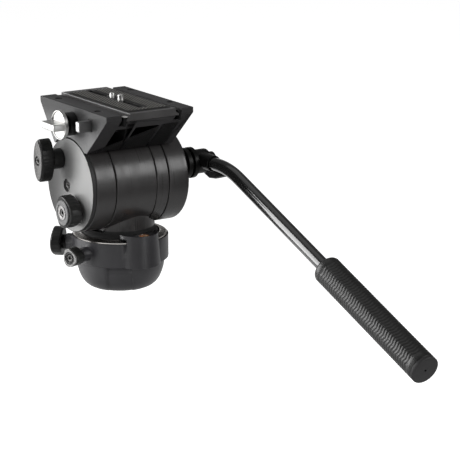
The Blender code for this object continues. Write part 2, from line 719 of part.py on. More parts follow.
def make_collar():
    """The collar round the pan bearing, with the level's housing and the two knobs' bosses."""
    bore = SPINDLE_RADIUS + GAP + BUSH_WALL + GAP
    collar = turned(
        "base_collar",
        [(COLLAR_RADIUS, COLLAR_TOP), (COLLAR_RADIUS, COLLAR_BOTTOM + COLLAR_FOOT_CHAMFER),
         (COLLAR_RADIUS - COLLAR_FOOT_CHAMFER, COLLAR_BOTTOM), (bore, COLLAR_BOTTOM), (bore, COLLAR_TOP)],
        Vector(), Z_AXIS, BLACK_CASTING)
    join(collar, cylinder(
        "level_housing", Vector((0, -LEVEL_HOUSING_OFFSET, COLLAR_BOTTOM)), Z_AXIS,
        LEVEL_HOUSING_TOP - COLLAR_BOTTOM, LEVEL_HOUSING_FOOT_RADIUS, end_radius=LEVEL_HOUSING_RADIUS,
        sides=LARGE_SIDES))
    bosses = (
        ("pan_lock", PAN_LOCK_ANGLE, PAN_LOCK_BOSS_RADIUS, PAN_LOCK_BOSS_END),
        ("pan_drag", PAN_DRAG_ANGLE, PAN_DRAG_BOSS_RADIUS, PAN_DRAG_BOSS_END),
    )
    for name, angle, radius, end in bosses:
        start = spoke(angle) * BOSS_ROOT + Z_AXIS * PAN_KNOB_HEIGHT
        join(collar, cylinder(name + "_boss", start, spoke(angle), end - BOSS_ROOT, radius))
    ring_room = RING_RADIUS + SWEEP_CLEARANCE / 2
    ring_seat = COLLAR_TOP - RING_SEAT_DEPTH
    slot_top = RING_BOTTOM + RING_HEIGHT + SWEEP_CLEARANCE
    sky = LEVEL_HOUSING_TOP + OVERRUN
    cut(collar, turned(
        "collar_room",
        [(0, sky), (LEVEL_INNER_RADIUS, sky), (LEVEL_INNER_RADIUS, slot_top), (ring_room, slot_top),
         (ring_room, ring_seat), (COLLAR_BORE_RADIUS, ring_seat), (COLLAR_BORE_RADIUS, COLLAR_FLOOR_TOP),
         (0, COLLAR_FLOOR_TOP)],
        Vector(), Z_AXIS))
    rim_floor = LEVEL_HOUSING_TOP - LEVEL_RIM_HEIGHT
    cut(collar, cylinder(
        "level_recess", Vector((0, -LEVEL_HOUSING_OFFSET, rim_floor)), Z_AXIS, LEVEL_RIM_HEIGHT + OVERRUN,
        LEVEL_HOUSING_RADIUS - LEVEL_RIM, sides=LARGE_SIDES))
    cut(collar, cylinder(
        "level_pocket", Vector((0, -LEVEL_OFFSET, rim_floor - VIAL_HEIGHT - GAP)), Z_AXIS,
        VIAL_HEIGHT + GAP + OVERRUN, VIAL_RADIUS + GAP))
    for name, angle, radius, end in bosses:
        start = spoke(angle) * HUB_RADIUS + Z_AXIS * PAN_KNOB_HEIGHT
        cut(collar, cylinder(
            name + "_bore", start, spoke(angle), end + OVERRUN - HUB_RADIUS, STEM_RADIUS + GAP,
            sides=SMALL_SIDES))
    return collar


def make_level_vial():
    foot = Vector((0, -LEVEL_OFFSET, LEVEL_HOUSING_TOP - LEVEL_RIM_HEIGHT - VIAL_HEIGHT))
    return cylinder("level_vial", foot, Z_AXIS, VIAL_HEIGHT, VIAL_RADIUS, AMBER)


def make_pan_bush():
    """The flanged bush that the neck turns on."""
    inner = SPINDLE_RADIUS + GAP
    outer = inner + BUSH_WALL
    flange_foot = COLLAR_FLOOR_TOP + GAP
    return turned(
        "pan_bush",
        [(BUSH_FLANGE_RADIUS, BUSH_TOP), (BUSH_FLANGE_RADIUS, flange_foot), (outer, flange_foot),
         (outer, COLLAR_BOTTOM + GAP), (inner, COLLAR_BOTTOM + GAP), (inner, BUSH_TOP)],
        Vector(), Z_AXIS, BRASS, MEDIUM_SIDES)


def make_pan_brake_shoes():
    """Two shoes on the collar's floor, pressed on the neck's hub by the pan knobs' stems."""
    shoes = []
    foot = COLLAR_FLOOR_TOP + GAP
    for name, angle in (("pan_lock_shoe", PAN_LOCK_ANGLE), ("pan_drag_shoe", PAN_DRAG_ANGLE)):
        low = (SHOE_END - SHOE_LENGTH, -SHOE_WIDTH / 2, foot)
        shoe = box(name, low, (SHOE_END, SHOE_WIDTH / 2, foot + SHOE_HEIGHT), BRASS)
        shoe.matrix_world = Matrix.Rotation(angle, 4, "Z") @ shoe.matrix_world
        shoes.append(shoe)
    return shoes


def make_scale_ring():
    """The silver ring that lies on the collar, guided by a lip in the collar's bore."""
    top = RING_BOTTOM + RING_HEIGHT
    lip = COLLAR_BORE_RADIUS - RUNNING_GAP
    return turned(
        "pan_scale_ring",
        [(RING_TOP_RADIUS + RING_EDGE, top), (RING_RADIUS, RING_BOTTOM + RING_EDGE), (RING_RADIUS, RING_BOTTOM),
         (lip, RING_BOTTOM), (lip, RING_BOTTOM - RING_LIP), (RING_TOP_RADIUS, RING_BOTTOM - RING_LIP),
         (RING_TOP_RADIUS, top)],
        Vector(), Z_AXIS, SILVER)


def make_pan_knob(prefix, angle, radius, hub, length, boss_end, face=None):
    seat = spoke(angle) * boss_end + Z_AXIS * PAN_KNOB_HEIGHT
    stem_inner = boss_end - SHOE_END - GAP
    body = (lobed(radius, LOBE_SHARE, LOBES), length)
    return knob(prefix, seat, spoke(angle), hub, body, stem_inner, face, (BLACK_PLASTIC, GREY_FACE))


# Pan body: everything that turns on the base but doesn't tilt

def make_pan_housing():
    """The barrel's middle and the neck under it, in one casting."""
    left = -HOUSING_HALF_WIDTH
    housing = cylinder(
        "pan_housing", on_tilt_axis(left), X_AXIS, END_RING_START - left, BARREL_RADIUS, BLACK_CASTING,
        sides=LARGE_SIDES)
    neck = turned(
        "neck",
        [(0, NECK_TOP), (NECK_RADIUS, NECK_TOP), (NECK_RADIUS, NECK_FOOT), (SKIRT_RADIUS, SKIRT_TOP),
         (SKIRT_RADIUS, SKIRT_BOTTOM), (HUB_RADIUS, SKIRT_BOTTOM), (HUB_RADIUS, HUB_BOTTOM), (0, HUB_BOTTOM)],
        Vector(), Z_AXIS)
    outside = NECK_RADIUS + OVERRUN
    cut(neck, box("neck_left", (-outside, -outside, NECK_SHOULDER), (left, outside, NECK_TOP + OVERRUN)))
    cut(neck, box("neck_right", (-left, -outside, NECK_SHOULDER), (outside, outside, NECK_TOP + OVERRUN)))
    cut(neck, cylinder(
        "neck_ring_room", on_tilt_axis(END_RING_START), X_AXIS, HOUSING_HALF_WIDTH, BARREL_RADIUS + GAP,
        sides=LARGE_SIDES))
    join(housing, neck)
    cut(housing, cylinder(
        "housing_cavity", on_tilt_axis(left + BARREL_WALL), X_AXIS,
        END_RING_START + OVERRUN - left - BARREL_WALL, HOUSING_CAVITY_RADIUS, sides=LARGE_SIDES))
    cut(housing, cylinder(
        "housing_bore", on_tilt_axis(left - OVERRUN), X_AXIS, BARREL_WALL + 2 * OVERRUN, SHAFT_RADIUS + GAP))
    cut(housing, cylinder(
        "spindle_bore", Z_AXIS * (HUB_BOTTOM - OVERRUN), Z_AXIS, SPINDLE_TOP + GAP + OVERRUN - HUB_BOTTOM,
        SPINDLE_RADIUS + GAP))
    return housing


def make_end_ring():
    """The ring that closes the barrel's middle on the right."""
    inner_face = HOUSING_HALF_WIDTH - BARREL_WALL
    bore = SHAFT_RADIUS + GAP
    return turned(
        "housing_end_ring",
        [(BARREL_RADIUS, HOUSING_HALF_WIDTH), (BARREL_RADIUS, END_RING_START + GAP),
         (HOUSING_CAVITY_RADIUS, END_RING_START + GAP), (HOUSING_CAVITY_RADIUS, inner_face), (bore, inner_face),
         (bore, HOUSING_HALF_WIDTH)],
        on_tilt_axis(0), X_AXIS, BLACK_CASTING)


def make_spindle_parts():
    """The pan spindle, the drag disc in the bowl's cavity and the nut that holds both."""
    inner = SPINDLE_RADIUS + GAP
    disc_top = DRAG_DISC_BOTTOM + DRAG_DISC_THICKNESS
    spindle = cylinder(
        "pan_spindle", Z_AXIS * SPINDLE_BOTTOM, Z_AXIS, SPINDLE_TOP - SPINDLE_BOTTOM, SPINDLE_RADIUS, STEEL)
    disc = turned(
        "pan_damper_disc",
        [(DRAG_DISC_RADIUS, disc_top), (DRAG_DISC_RADIUS, DRAG_DISC_BOTTOM), (inner, DRAG_DISC_BOTTOM),
         (inner, disc_top)],
        Vector(), Z_AXIS, STEEL, MEDIUM_SIDES)
    nut_foot = DRAG_DISC_BOTTOM - GAP - NUT_HEIGHT
    nut = cylinder("spindle_nut", Z_AXIS * nut_foot, Z_AXIS, NUT_HEIGHT, NUT_RADIUS, STEEL, sides=NUT_SIDES)
    cut(nut, cylinder(
        "nut_bore", Z_AXIS * (nut_foot - OVERRUN), Z_AXIS, NUT_HEIGHT + 2 * OVERRUN, inner))
    return [spindle, disc, nut]


DISC_BACK = DISC_FACE - DISC_THICKNESS
ARM_FACE = DISC_BACK - GAP
ARM_START = HOUSING_HALF_WIDTH + RUNNING_GAP
RECESS_FLOOR = ARM_FACE - ARM_RECESS_DEPTH
BRAKE_PAD_END = RECESS_FLOOR + GAP + DRAG_PLATE_THICKNESS + RUNNING_GAP + BRAKE_PAD_THICKNESS


def make_tilt_shaft():
    return cylinder("tilt_shaft", on_tilt_axis(-ARM_FACE), X_AXIS, ARM_FACE + SHAFT_END, SHAFT_RADIUS, STEEL)


def make_disc():
    """The grey disc on the left, which carries the tilt knobs, and the screw that holds it."""
    disc = turned(
        "disc_plate",
        [(0, DISC_FACE), (DISC_RADIUS - DISC_CHAMFER, DISC_FACE), (DISC_RADIUS, DISC_FACE - DISC_CHAMFER),
         (DISC_RADIUS, DISC_BACK), (0, DISC_BACK)],
        on_tilt_axis(0), -X_AXIS, GREY_FACE)
    for name, place in (("tilt_lock", TILT_LOCK_PLACE), ("tilt_drag", TILT_DRAG_PLACE)):
        cut(disc, cylinder(
            name + "_disc_hole", on_tilt_axis(-DISC_BACK + OVERRUN, place), -X_AXIS,
            DISC_THICKNESS + 2 * OVERRUN, STEM_RADIUS + GAP, sides=SMALL_SIDES))
    head_top = DISC_FACE - DISC_SCREW_SINK
    head_foot = head_top - DISC_SCREW_HEAD
    cut(disc, cylinder(
        "disc_screw_pocket", on_tilt_axis(-head_foot + GAP, DISC_SCREW_PLACE), -X_AXIS,
        DISC_SCREW_HEAD + DISC_SCREW_SINK + GAP + OVERRUN, DISC_SCREW_POCKET_RADIUS))
    cut(disc, cylinder(
        "disc_screw_hole", on_tilt_axis(-DISC_BACK + OVERRUN, DISC_SCREW_PLACE), -X_AXIS,
        DISC_THICKNESS + OVERRUN, DISC_SCREW_SHANK_RADIUS + GAP, sides=SMALL_SIDES))
    screw = turned(
        "disc_screw",
        [(0, head_top - DISC_SCREW_HEAD / 2), (SOCKET_RADIUS, head_top - DISC_SCREW_HEAD / 2),
         (SOCKET_RADIUS, head_top), (DISC_SCREW_RADIUS, head_top), (DISC_SCREW_RADIUS, head_foot),
         (DISC_SCREW_SHANK_RADIUS, head_foot), (DISC_SCREW_SHANK_RADIUS, DISC_BACK), (0, DISC_BACK)],
        on_tilt_axis(0, DISC_SCREW_PLACE), -X_AXIS, STEEL, SMALL_SIDES)
    return [disc, screw]


def coil(name, start, axis, length, radius, wire_radius, turns, per_turn, surface):
    """A helical spring of round wire between two ends along an axis."""
    turn = facing(axis)
    count = turns * per_turn
    rise = (length - 2 * wire_radius) / count
    points = []
    for index in range(count + 1):
        angle = 2 * math.pi * index / per_turn
        local = Vector((radius * math.cos(angle), radius * math.sin(angle), wire_radius + rise * index))
        points.append(Vector(start) + turn @ local)
    return wire(name, points, wire_radius, surface)


def make_counterbalance_spring():
    start = on_tilt_axis(-HOUSING_HALF_WIDTH + BARREL_WALL + GAP)
    return coil(
        "counterbalance_spring", start, X_AXIS, SPRING_LENGTH, SPRING_COIL_RADIUS, SPRING_WIRE_RADIUS,
        SPRING_TURNS, SPRING_POINTS_PER_TURN, STEEL)


def make_tilt_damper():
    """The sealed fluid cartridge round the shaft."""
    end = HOUSING_HALF_WIDTH - BARREL_WALL - GAP
    start = end - DAMPER_LENGTH
    inner = SHAFT_RADIUS + GAP
    return turned(
        "tilt_damper", [(DAMPER_RADIUS, end), (DAMPER_RADIUS, start), (inner, start), (inner, end)],
        on_tilt_axis(0), X_AXIS, STEEL, MEDIUM_SIDES)


def make_tilt_brake_pads():
    """The two pads between the tilt knobs' stems and the drag plate."""
    pads = []
    for name, place in (("tilt_lock_pad", TILT_LOCK_PLACE), ("tilt_drag_pad", TILT_DRAG_PLACE)):
        pads.append(cylinder(
            name, on_tilt_axis(-BRAKE_PAD_END, place), X_AXIS, BRAKE_PAD_THICKNESS, BRAKE_PAD_RADIUS, BRASS,
            sides=SMALL_SIDES))
    return pads


def make_tilt_knob(prefix, place, hub, body, face):
    seat = on_tilt_axis(-DISC_FACE, place)
    stem_inner = DISC_FACE - BRAKE_PAD_END - GAP
    return knob(prefix, seat, -X_AXIS, hub, body, stem_inner, face, (BLACK_PLASTIC, GREY_FACE))


# Tilt body: the two ends of the barrel and the platform across them

def make_left_arm():
    bore = SHAFT_RADIUS + GAP + BEARING_WALL + GAP
    return turned(
        "tilt_arm_left",
        [(BARREL_RADIUS, ARM_FACE), (BARREL_RADIUS, ARM_START), (bore, ARM_START), (bore, RECESS_FLOOR),
         (END_CAVITY_RADIUS, RECESS_FLOOR), (END_CAVITY_RADIUS, ARM_FACE)],
        on_tilt_axis(0), -X_AXIS, BLACK_CASTING)


def make_drag_plate():
    foot = RECESS_FLOOR + GAP
    top = foot + DRAG_PLATE_THICKNESS
    return turned(
        "tilt_drag_plate",
        [(DRAG_PLATE_RADIUS, top), (DRAG_PLATE_RADIUS, foot), (DRAG_PLATE_INNER_RADIUS, foot),
         (DRAG_PLATE_INNER_RADIUS, top)],
        on_tilt_axis(0), -X_AXIS, STEEL, MEDIUM_SIDES)


def make_right_cap():
    """The closed right end, with its bearing seat and the hole for the handle's bolt."""
    bore = SHAFT_RADIUS + GAP + BEARING_WALL + GAP
    hub = bore + CAP_HUB_WALL
    bore_end = SHAFT_END + RUNNING_GAP
    floor = CAP_END - CAP_FLOOR
    half_round = CAP_ROUNDING * (1 - math.sqrt(0.5))
    cap = turned(
        "tilt_cap_right",
        [(0, CAP_END), (BARREL_RADIUS - CAP_ROUNDING, CAP_END),
         (BARREL_RADIUS - half_round, CAP_END - half_round), (BARREL_RADIUS, CAP_END - CAP_ROUNDING),
         (BARREL_RADIUS, ARM_START), (END_CAVITY_RADIUS, ARM_START), (END_CAVITY_RADIUS, floor),
         (hub, floor), (hub, ARM_START), (bore, ARM_START), (bore, bore_end), (0, bore_end)],
        on_tilt_axis(0), X_AXIS, BLACK_CASTING)
    cut(cap, cylinder(
        "cap_bolt_hole", on_tilt_axis(floor - OVERRUN, ROSETTE_PLACE), X_AXIS, CAP_FLOOR + 2 * OVERRUN,
        BOLT_RADIUS + GAP, sides=SMALL_SIDES))
    return cap


def make_tilt_bearings():
    inner = SHAFT_RADIUS + GAP
    outer = inner + BEARING_WALL
    start = ARM_START + BEARING_INSET
    end = start + BEARING_LENGTH
    profile = [(outer, end), (outer, start), (inner, start), (inner, end)]
    return [
        turned("tilt_bearing_left", profile, on_tilt_axis(0), -X_AXIS, STEEL, MEDIUM_SIDES),
        turned("tilt_bearing_right", profile, on_tilt_axis(0), X_AXIS, STEEL, MEDIUM_SIDES),
    ]


def rosette(name, back, axis):
    """A toothed disc: a plain disc whose front rim is raised at every second corner."""
    bm = bmesh.new()
    middle = Matrix.Translation(Z_AXIS * ROSETTE_BODY / 2)
    bmesh.ops.create_cone(
        bm, cap_ends=True, segments=2 * ROSETTE_TEETH, radius1=ROSETTE_RADIUS, radius2=ROSETTE_RADIUS,
        depth=ROSETTE_BODY, matrix=middle)
    front = max(bm.faces, key=lambda face: face.calc_center_median().z)
    rim = list(front.verts)
    bmesh.ops.inset_region(bm, faces=[front], thickness=ROSETTE_RADIUS - ROSETTE_TOOTH_INNER_RADIUS)
    for vertex in rim[::2]:
        vertex.co.z += ROSETTE_TOOTH
    seat = on_tilt_axis(back, ROSETTE_PLACE)
    made = add_object(name, mesh_from(name, bm), BLACK_CASTING, Matrix.Translation(seat) @ facing(axis))
    cut(made, cylinder(
        name + "_bore", seat - axis * OVERRUN, axis,
        ROSETTE_BODY + ROSETTE_TOOTH + 2 * OVERRUN, BOLT_RADIUS + GAP, sides=SMALL_SIDES))
    return made


BUTTON_HOLE_END = -DISC_FACE + BUTTON_SUNK + BUTTON_TRAVEL + BUTTON_SPRING_ROOM
CATCH_HOLE_DEPTH = CATCH_DEPTH + CATCH_TRAVEL + GAP


def platform_box(name, x, y, z):
    """A box between two values each of x, y and height above the tilt axis."""
    return box(name, (x[0], y[0], TILT_AXIS_HEIGHT + z[0]), (x[1], y[1], TILT_AXIS_HEIGHT + z[1]))


def lug_room(name, left):
    """The room of one lug that hangs from the ceiling of a rear pocket, with a ramp on its outer side."""
    inside = -POCKET_WALL + OVERRUN
    side = [
        (inside, POCKET_TOP + OVERRUN), (-LUG_RAMP_START, POCKET_TOP + OVERRUN), (-LUG_RAMP_START, POCKET_TOP),
        (-LUG_REACH, POCKET_TOP - LUG_DROP), (inside, POCKET_TOP - LUG_DROP)]
    width = LUG_WIDTH + OVERRUN
    middle = on_tilt_axis(left + LUG_WIDTH - width / 2)
    return outline(name, side, width, Matrix.Translation(middle) @ side_view())


def make_platform():
    """The casting across the barrel: sloping ends, a channel on top, and pockets and lugs in its ends."""
    side = [
        (-PLATFORM_REAR, PLATFORM_TOP), (-PLATFORM_REAR, PLATFORM_TOP - PLATFORM_LIP),
        (-PLATFORM_BOTTOM_REAR, PLATFORM_BOTTOM), (PLATFORM_BOTTOM_FRONT, PLATFORM_BOTTOM),
        (PLATFORM_FRONT, PLATFORM_TOP - PLATFORM_LIP), (PLATFORM_FRONT, PLATFORM_TOP)]
    width = PLATFORM_RIGHT + DISC_FACE
    middle = Matrix.Translation(on_tilt_axis(PLATFORM_RIGHT - width / 2)) @ side_view()
    platform = outline("platform_body", side, width, middle, BLACK_CASTING)
    front, rear = PLATFORM_FRONT + OVERRUN, -PLATFORM_REAR - OVERRUN
    sky = PLATFORM_TOP + OVERRUN
    cut(platform, cylinder(
        "platform_seat", on_tilt_axis(-DISC_FACE - OVERRUN), X_AXIS, width + 2 * OVERRUN, BARREL_RADIUS + GAP,
        sides=LARGE_SIDES))
    cut(platform, cylinder(
        "platform_sweep", on_tilt_axis(-ARM_START), X_AXIS, 2 * ARM_START, BARREL_RADIUS + SWEEP_CLEARANCE,
        sides=LARGE_SIDES))
    for name, forward, edge in (("rear", -1, PLATFORM_REAR), ("front", 1, PLATFORM_FRONT)):
        pocket_y = sorted((forward * POCKET_WALL, forward * (edge + OVERRUN)))
        pocket_z = (PLATFORM_BOTTOM - OVERRUN, POCKET_TOP)
        pockets = platform_box(name + "_pockets", (POCKET_EDGES[0], POCKET_EDGES[-1]), pocket_y, pocket_z)
        for index in (1, 3):
            cut(pockets, platform_box(
                name + "_gusset", POCKET_EDGES[index:index + 2], (rear, front), (0, sky)))
        cut(pockets, cylinder(
            name + "_pocket_floor", on_tilt_axis(-DISC_FACE), X_AXIS, width, POCKET_FLOOR_RADIUS,
            sides=LARGE_SIDES))
        if name == "rear":
            cut(pockets, lug_room("left_lug", POCKET_EDGES[0]))
            cut(pockets, lug_room("right_lug", POCKET_EDGES[4]))
        cut(platform, pockets)
    cut(platform, platform_box("channel", (CHANNEL_LEFT, CHANNEL_RIGHT), (rear, front), (CHANNEL_FLOOR, sky)))
    cut(platform, platform_box(
        "left_groove", (CHANNEL_LEFT, CHANNEL_LEFT + LEFT_GROOVE_WIDTH), (rear, front), (GROOVE_FLOOR, sky)))
    cut(platform, platform_box(
        "right_groove", (CHANNEL_RIGHT - RIGHT_GROOVE_WIDTH, CHANNEL_RIGHT), (rear, front), (GROOVE_FLOOR, sky)))
    tongue_right = CHANNEL_LEFT + GAP + GIB_TRAVEL + GIB_THICKNESS + GAP
    tongue_half = GIB_TONGUE_HALF + GAP
    cut(platform, platform_box(
        "tongue_pocket", (CHANNEL_LEFT, tongue_right), (LOCK_Y - tongue_half, LOCK_Y + tongue_half),
        (GIB_TONGUE_BOTTOM - GAP, GROOVE_FLOOR + OVERRUN)))
    cut(platform, cylinder(
        "lock_bore", on_tilt_axis(CHANNEL_LEFT + OVERRUN, LOCK_PLACE), -X_AXIS, LEFT_RAIL_WIDTH + 2 * OVERRUN,
        LOCK_SHAFT_RADIUS + GAP, sides=SMALL_SIDES))
    half_width, half_height = BUTTON_WIDTH / 2 + GAP, BUTTON_HEIGHT / 2 + GAP
    cut(platform, platform_box(
        "button_hole", (-DISC_FACE - OVERRUN, BUTTON_HOLE_END),
        (BUTTON_PLACE[0] - half_width, BUTTON_PLACE[0] + half_width),
        (BUTTON_PLACE[1] - half_height, BUTTON_PLACE[1] + half_height)))
    catch_foot = on_tilt_axis(CATCH_PLACE[0], (CATCH_PLACE[1], CHANNEL_FLOOR - CATCH_HOLE_DEPTH))
    cut(platform, cylinder(
        "catch_hole", catch_foot, Z_AXIS, CATCH_HOLE_DEPTH + OVERRUN, CATCH_RADIUS + GAP, sides=SMALL_SIDES))
    slot_z = BARREL_RADIUS + BEAM_SLOT_RISE
    slot_end = -PLATFORM_REAR + BEAM_SLOT_DEPTH
    cut(platform, platform_box(
        "beam_slot", (BEAM_SLOT_X - BEAM_SLOT_WIDTH / 2, BEAM_SLOT_X + BEAM_SLOT_WIDTH / 2),
        (rear, slot_end), (slot_z - BEAM_SLOT_HEIGHT / 2, slot_z + BEAM_SLOT_HEIGHT / 2)))
    pocket_depth = RAIL_SCREW_DEPTH + RAIL_SCREW_SINK + GAP
    for x, y in RAIL_SCREW_PLACES:
        cut(platform, cylinder(
            "rail_screw_pocket", on_tilt_axis(x, (y, PLATFORM_TOP - pocket_depth)), Z_AXIS,
            pocket_depth + OVERRUN, RAIL_SCREW_RADIUS + GAP, sides=SMALL_SIDES))
    return platform


def make_rail_screws():
    """The four socket screws in the rails' tops, which hold the platform to the arms."""
    foot = PLATFORM_TOP - RAIL_SCREW_SINK - RAIL_SCREW_DEPTH
    socket_floor = RAIL_SCREW_DEPTH - SOCKET_DEPTH
    profile = [
        (0, socket_floor), (SOCKET_RADIUS, socket_floor), (SOCKET_RADIUS, RAIL_SCREW_DEPTH),
        (RAIL_SCREW_RADIUS, RAIL_SCREW_DEPTH), (RAIL_SCREW_RADIUS, 0), (0, 0)]
    names = ("rail_screw_left_front", "rail_screw_left_rear", "rail_screw_right_front", "rail_screw_right_rear")
    return [
        turned(name, profile, on_tilt_axis(x, (y, foot)), Z_AXIS, STEEL, SMALL_SIDES)
        for name, (x, y) in zip(names, RAIL_SCREW_PLACES)]


# Plate, jaws, plate lock and release

PLATE_MIDDLE = (PLATE_RIGHT - PLATE_LEFT) / 2
PLATE_BOTTOM = CHANNEL_FLOOR + GAP
FLANGE_TOP = PLATE_BOTTOM + PLATE_FLANGE_EDGE
SHOULDER_SLOPE = PLATE_SHOULDER / PLATE_FLANGE
PAD_FOOT = PLATE_TOP + GAP


def jaw_outline(outer, inner, overhang, inward):
    """A jaw's section: a wall that leans over the plate's sloping flange."""
    lip = inner + inward * overhang
    foot = GROOVE_FLOOR + GAP
    slope_foot = FLANGE_TOP + GAP
    slope_top = slope_foot + overhang * SHOULDER_SLOPE
    return [(outer, foot), (inner, foot), (inner, slope_foot), (lip, slope_top), (lip, JAW_TOP), (outer, JAW_TOP)]


def lengthwise(name, section, surface):
    """A section drawn as (x, height above the tilt axis), drawn out over the platform's length."""
    length = PLATFORM_REAR + PLATFORM_FRONT - 2 * GAP
    middle = (PLATFORM_FRONT - PLATFORM_REAR) / 2
    at = Matrix.Translation(on_tilt_axis(0, (middle, 0))) @ end_view()
    return outline(name, section, length, at, surface)


def make_fixed_jaw():
    outer = CHANNEL_RIGHT - GAP
    return lengthwise("jaw_fixed", jaw_outline(outer, outer - JAW_WALL, JAW_OVERHANG, -1), SILVER)


def make_gib():
    """The sliding jaw, with the tongue that the lock's shaft draws outwards."""
    outer = CHANNEL_LEFT + GAP + GIB_TRAVEL
    inner = outer + GIB_THICKNESS
    gib = lengthwise("jaw_gib", jaw_outline(outer, inner, GIB_LIP, 1), SILVER)
    tongue = platform_box(
        "gib_tongue", (outer, inner), (LOCK_Y - GIB_TONGUE_HALF, LOCK_Y + GIB_TONGUE_HALF),
        (GIB_TONGUE_BOTTOM, FLANGE_TOP))
    join(gib, tongue)
    return gib


def make_plate_lock():
    """The plate lock: a dark collar on its shaft, and a silver dish with a bar to turn it by."""
    seat = DISC_FACE + GAP
    neck_top = seat + LOCK_COLLAR_LENGTH + LOCK_NECK_LENGTH
    shaft_end = GAP - CHANNEL_LEFT
    collar_top = seat + LOCK_COLLAR_LENGTH
    collar = turned(
        "plate_lock_collar",
        [(0, neck_top), (LOCK_NECK_RADIUS, neck_top), (LOCK_NECK_RADIUS, collar_top),
         (LOCK_COLLAR_RADIUS, collar_top), (LOCK_COLLAR_RADIUS, seat), (LOCK_SHAFT_RADIUS, seat),
         (LOCK_SHAFT_RADIUS, shaft_end), (0, shaft_end)],
        on_tilt_axis(0, LOCK_PLACE), -X_AXIS, BLACK_PLASTIC, MEDIUM_SIDES)
    dish_foot = neck_top + GAP
    dish_top = dish_foot + LOCK_DISH_THICKNESS
    rim = LOCK_DISH_RADIUS - LOCK_DISH_RIM
    knob_piece = turned(
        "plate_lock_knob",
        [(0, dish_top - LOCK_DISH_HOLLOW), (rim, dish_top - LOCK_DISH_HOLLOW), (rim, dish_top),
         (LOCK_DISH_RADIUS, dish_top), (LOCK_DISH_RADIUS, dish_foot), (0, dish_foot)],
        on_tilt_axis(0, LOCK_PLACE), -X_AXIS, SILVER, MEDIUM_SIDES)
    blade = platform_box(
        "lock_blade", (-dish_top - BLADE_REACH, -dish_foot - LOCK_DISH_HOLLOW),
        (LOCK_PLACE[0] - BLADE_LENGTH / 2, LOCK_PLACE[0] + BLADE_LENGTH / 2),
        (LOCK_PLACE[1] - BLADE_HEIGHT / 2, LOCK_PLACE[1] + BLADE_HEIGHT / 2))
    round_edges(blade)
    join(knob_piece, blade)
    return [collar, knob_piece]


def make_release_button():
    """The square button that frees the safety catch, bored from behind for its spring."""
    inner_end = -DISC_FACE + BUTTON_SUNK
    button = platform_box(
        "release_button", (-DISC_FACE - BUTTON_STANDING, inner_end),
        (BUTTON_PLACE[0] - BUTTON_WIDTH / 2, BUTTON_PLACE[0] + BUTTON_WIDTH / 2),
        (BUTTON_PLACE[1] - BUTTON_HEIGHT / 2, BUTTON_PLACE[1] + BUTTON_HEIGHT / 2))
    button.data.materials.append(GREY_FACE)
    round_edges(button, BUTTON_EDGE)
    bore = BUTTON_SPRING_RADIUS + BUTTON_SPRING_WIRE_RADIUS + GAP
    cut(button, cylinder(
        "button_bore", on_tilt_axis(inner_end + OVERRUN, BUTTON_PLACE), -X_AXIS, BUTTON_BORE_DEPTH + OVERRUN,
        bore, sides=SMALL_SIDES))
    return button


def make_button_spring():
    """The spring behind the button, as short as it is with the button pressed."""
    start = BUTTON_HOLE_END - GAP
    pressed_end = -DISC_FACE + BUTTON_SUNK - BUTTON_BORE_DEPTH + BUTTON_TRAVEL + GAP
    return coil(
        "button_spring", on_tilt_axis(start, BUTTON_PLACE), -X_AXIS, start - pressed_end, BUTTON_SPRING_RADIUS,
        BUTTON_SPRING_WIRE_RADIUS, BUTTON_SPRING_TURNS, BUTTON_SPRING_POINTS_PER_TURN, STEEL)


def make_safety_catch():
    foot = on_tilt_axis(CATCH_PLACE[0], (CATCH_PLACE[1], CHANNEL_FLOOR - CATCH_DEPTH))
    return cylinder(
        "safety_catch", foot, Z_AXIS, CATCH_DEPTH + GAP + CATCH_RISE, CATCH_RADIUS, STEEL, sides=SMALL_SIDES)


def spear(name, start, end, forward, thickness):
    """The outline of one long slot in the plate, pointed where it starts."""
    shoulder = start + SLOT_WIDTH
    points = [
        (-SLOT_TIP_WIDTH / 2, start), (SLOT_TIP_WIDTH / 2, start), (SLOT_WIDTH / 2, shoulder),
        (SLOT_WIDTH / 2, end), (-SLOT_WIDTH / 2, end), (-SLOT_WIDTH / 2, shoulder)]
    placed = [(PLATE_MIDDLE + across, forward * along) for across, along in points]
    at = Matrix.Translation(on_tilt_axis(0, (0, PLATE_TOP)))
    return outline(name, placed, thickness, at)


def pierce_plate(piece, prefix):
    """Cut both long slots and the holes of the screw and the pin through a piece."""
    through = 2 * (PLATE_TOP - CHANNEL_FLOOR + OVERRUN)
    cut(piece, spear(prefix + "_rear_slot", REAR_SLOT_START, REAR_SLOT_END, -1, through))
    cut(piece, spear(prefix + "_front_slot", FRONT_SLOT_START, FRONT_SLOT_END, 1, through))
    holes = (("screw", CAMERA_SCREW_PLACE, CAMERA_SCREW_RADIUS), ("pin", PIN_PLACE, PIN_RADIUS))
    for name, place, radius in holes:
        foot = on_tilt_axis(PLATE_MIDDLE, (place, CHANNEL_FLOOR - OVERRUN))
        cut(piece, cylinder(prefix + "_" + name + "_hole", foot, Z_AXIS, through, radius + GAP, sides=SMALL_SIDES))


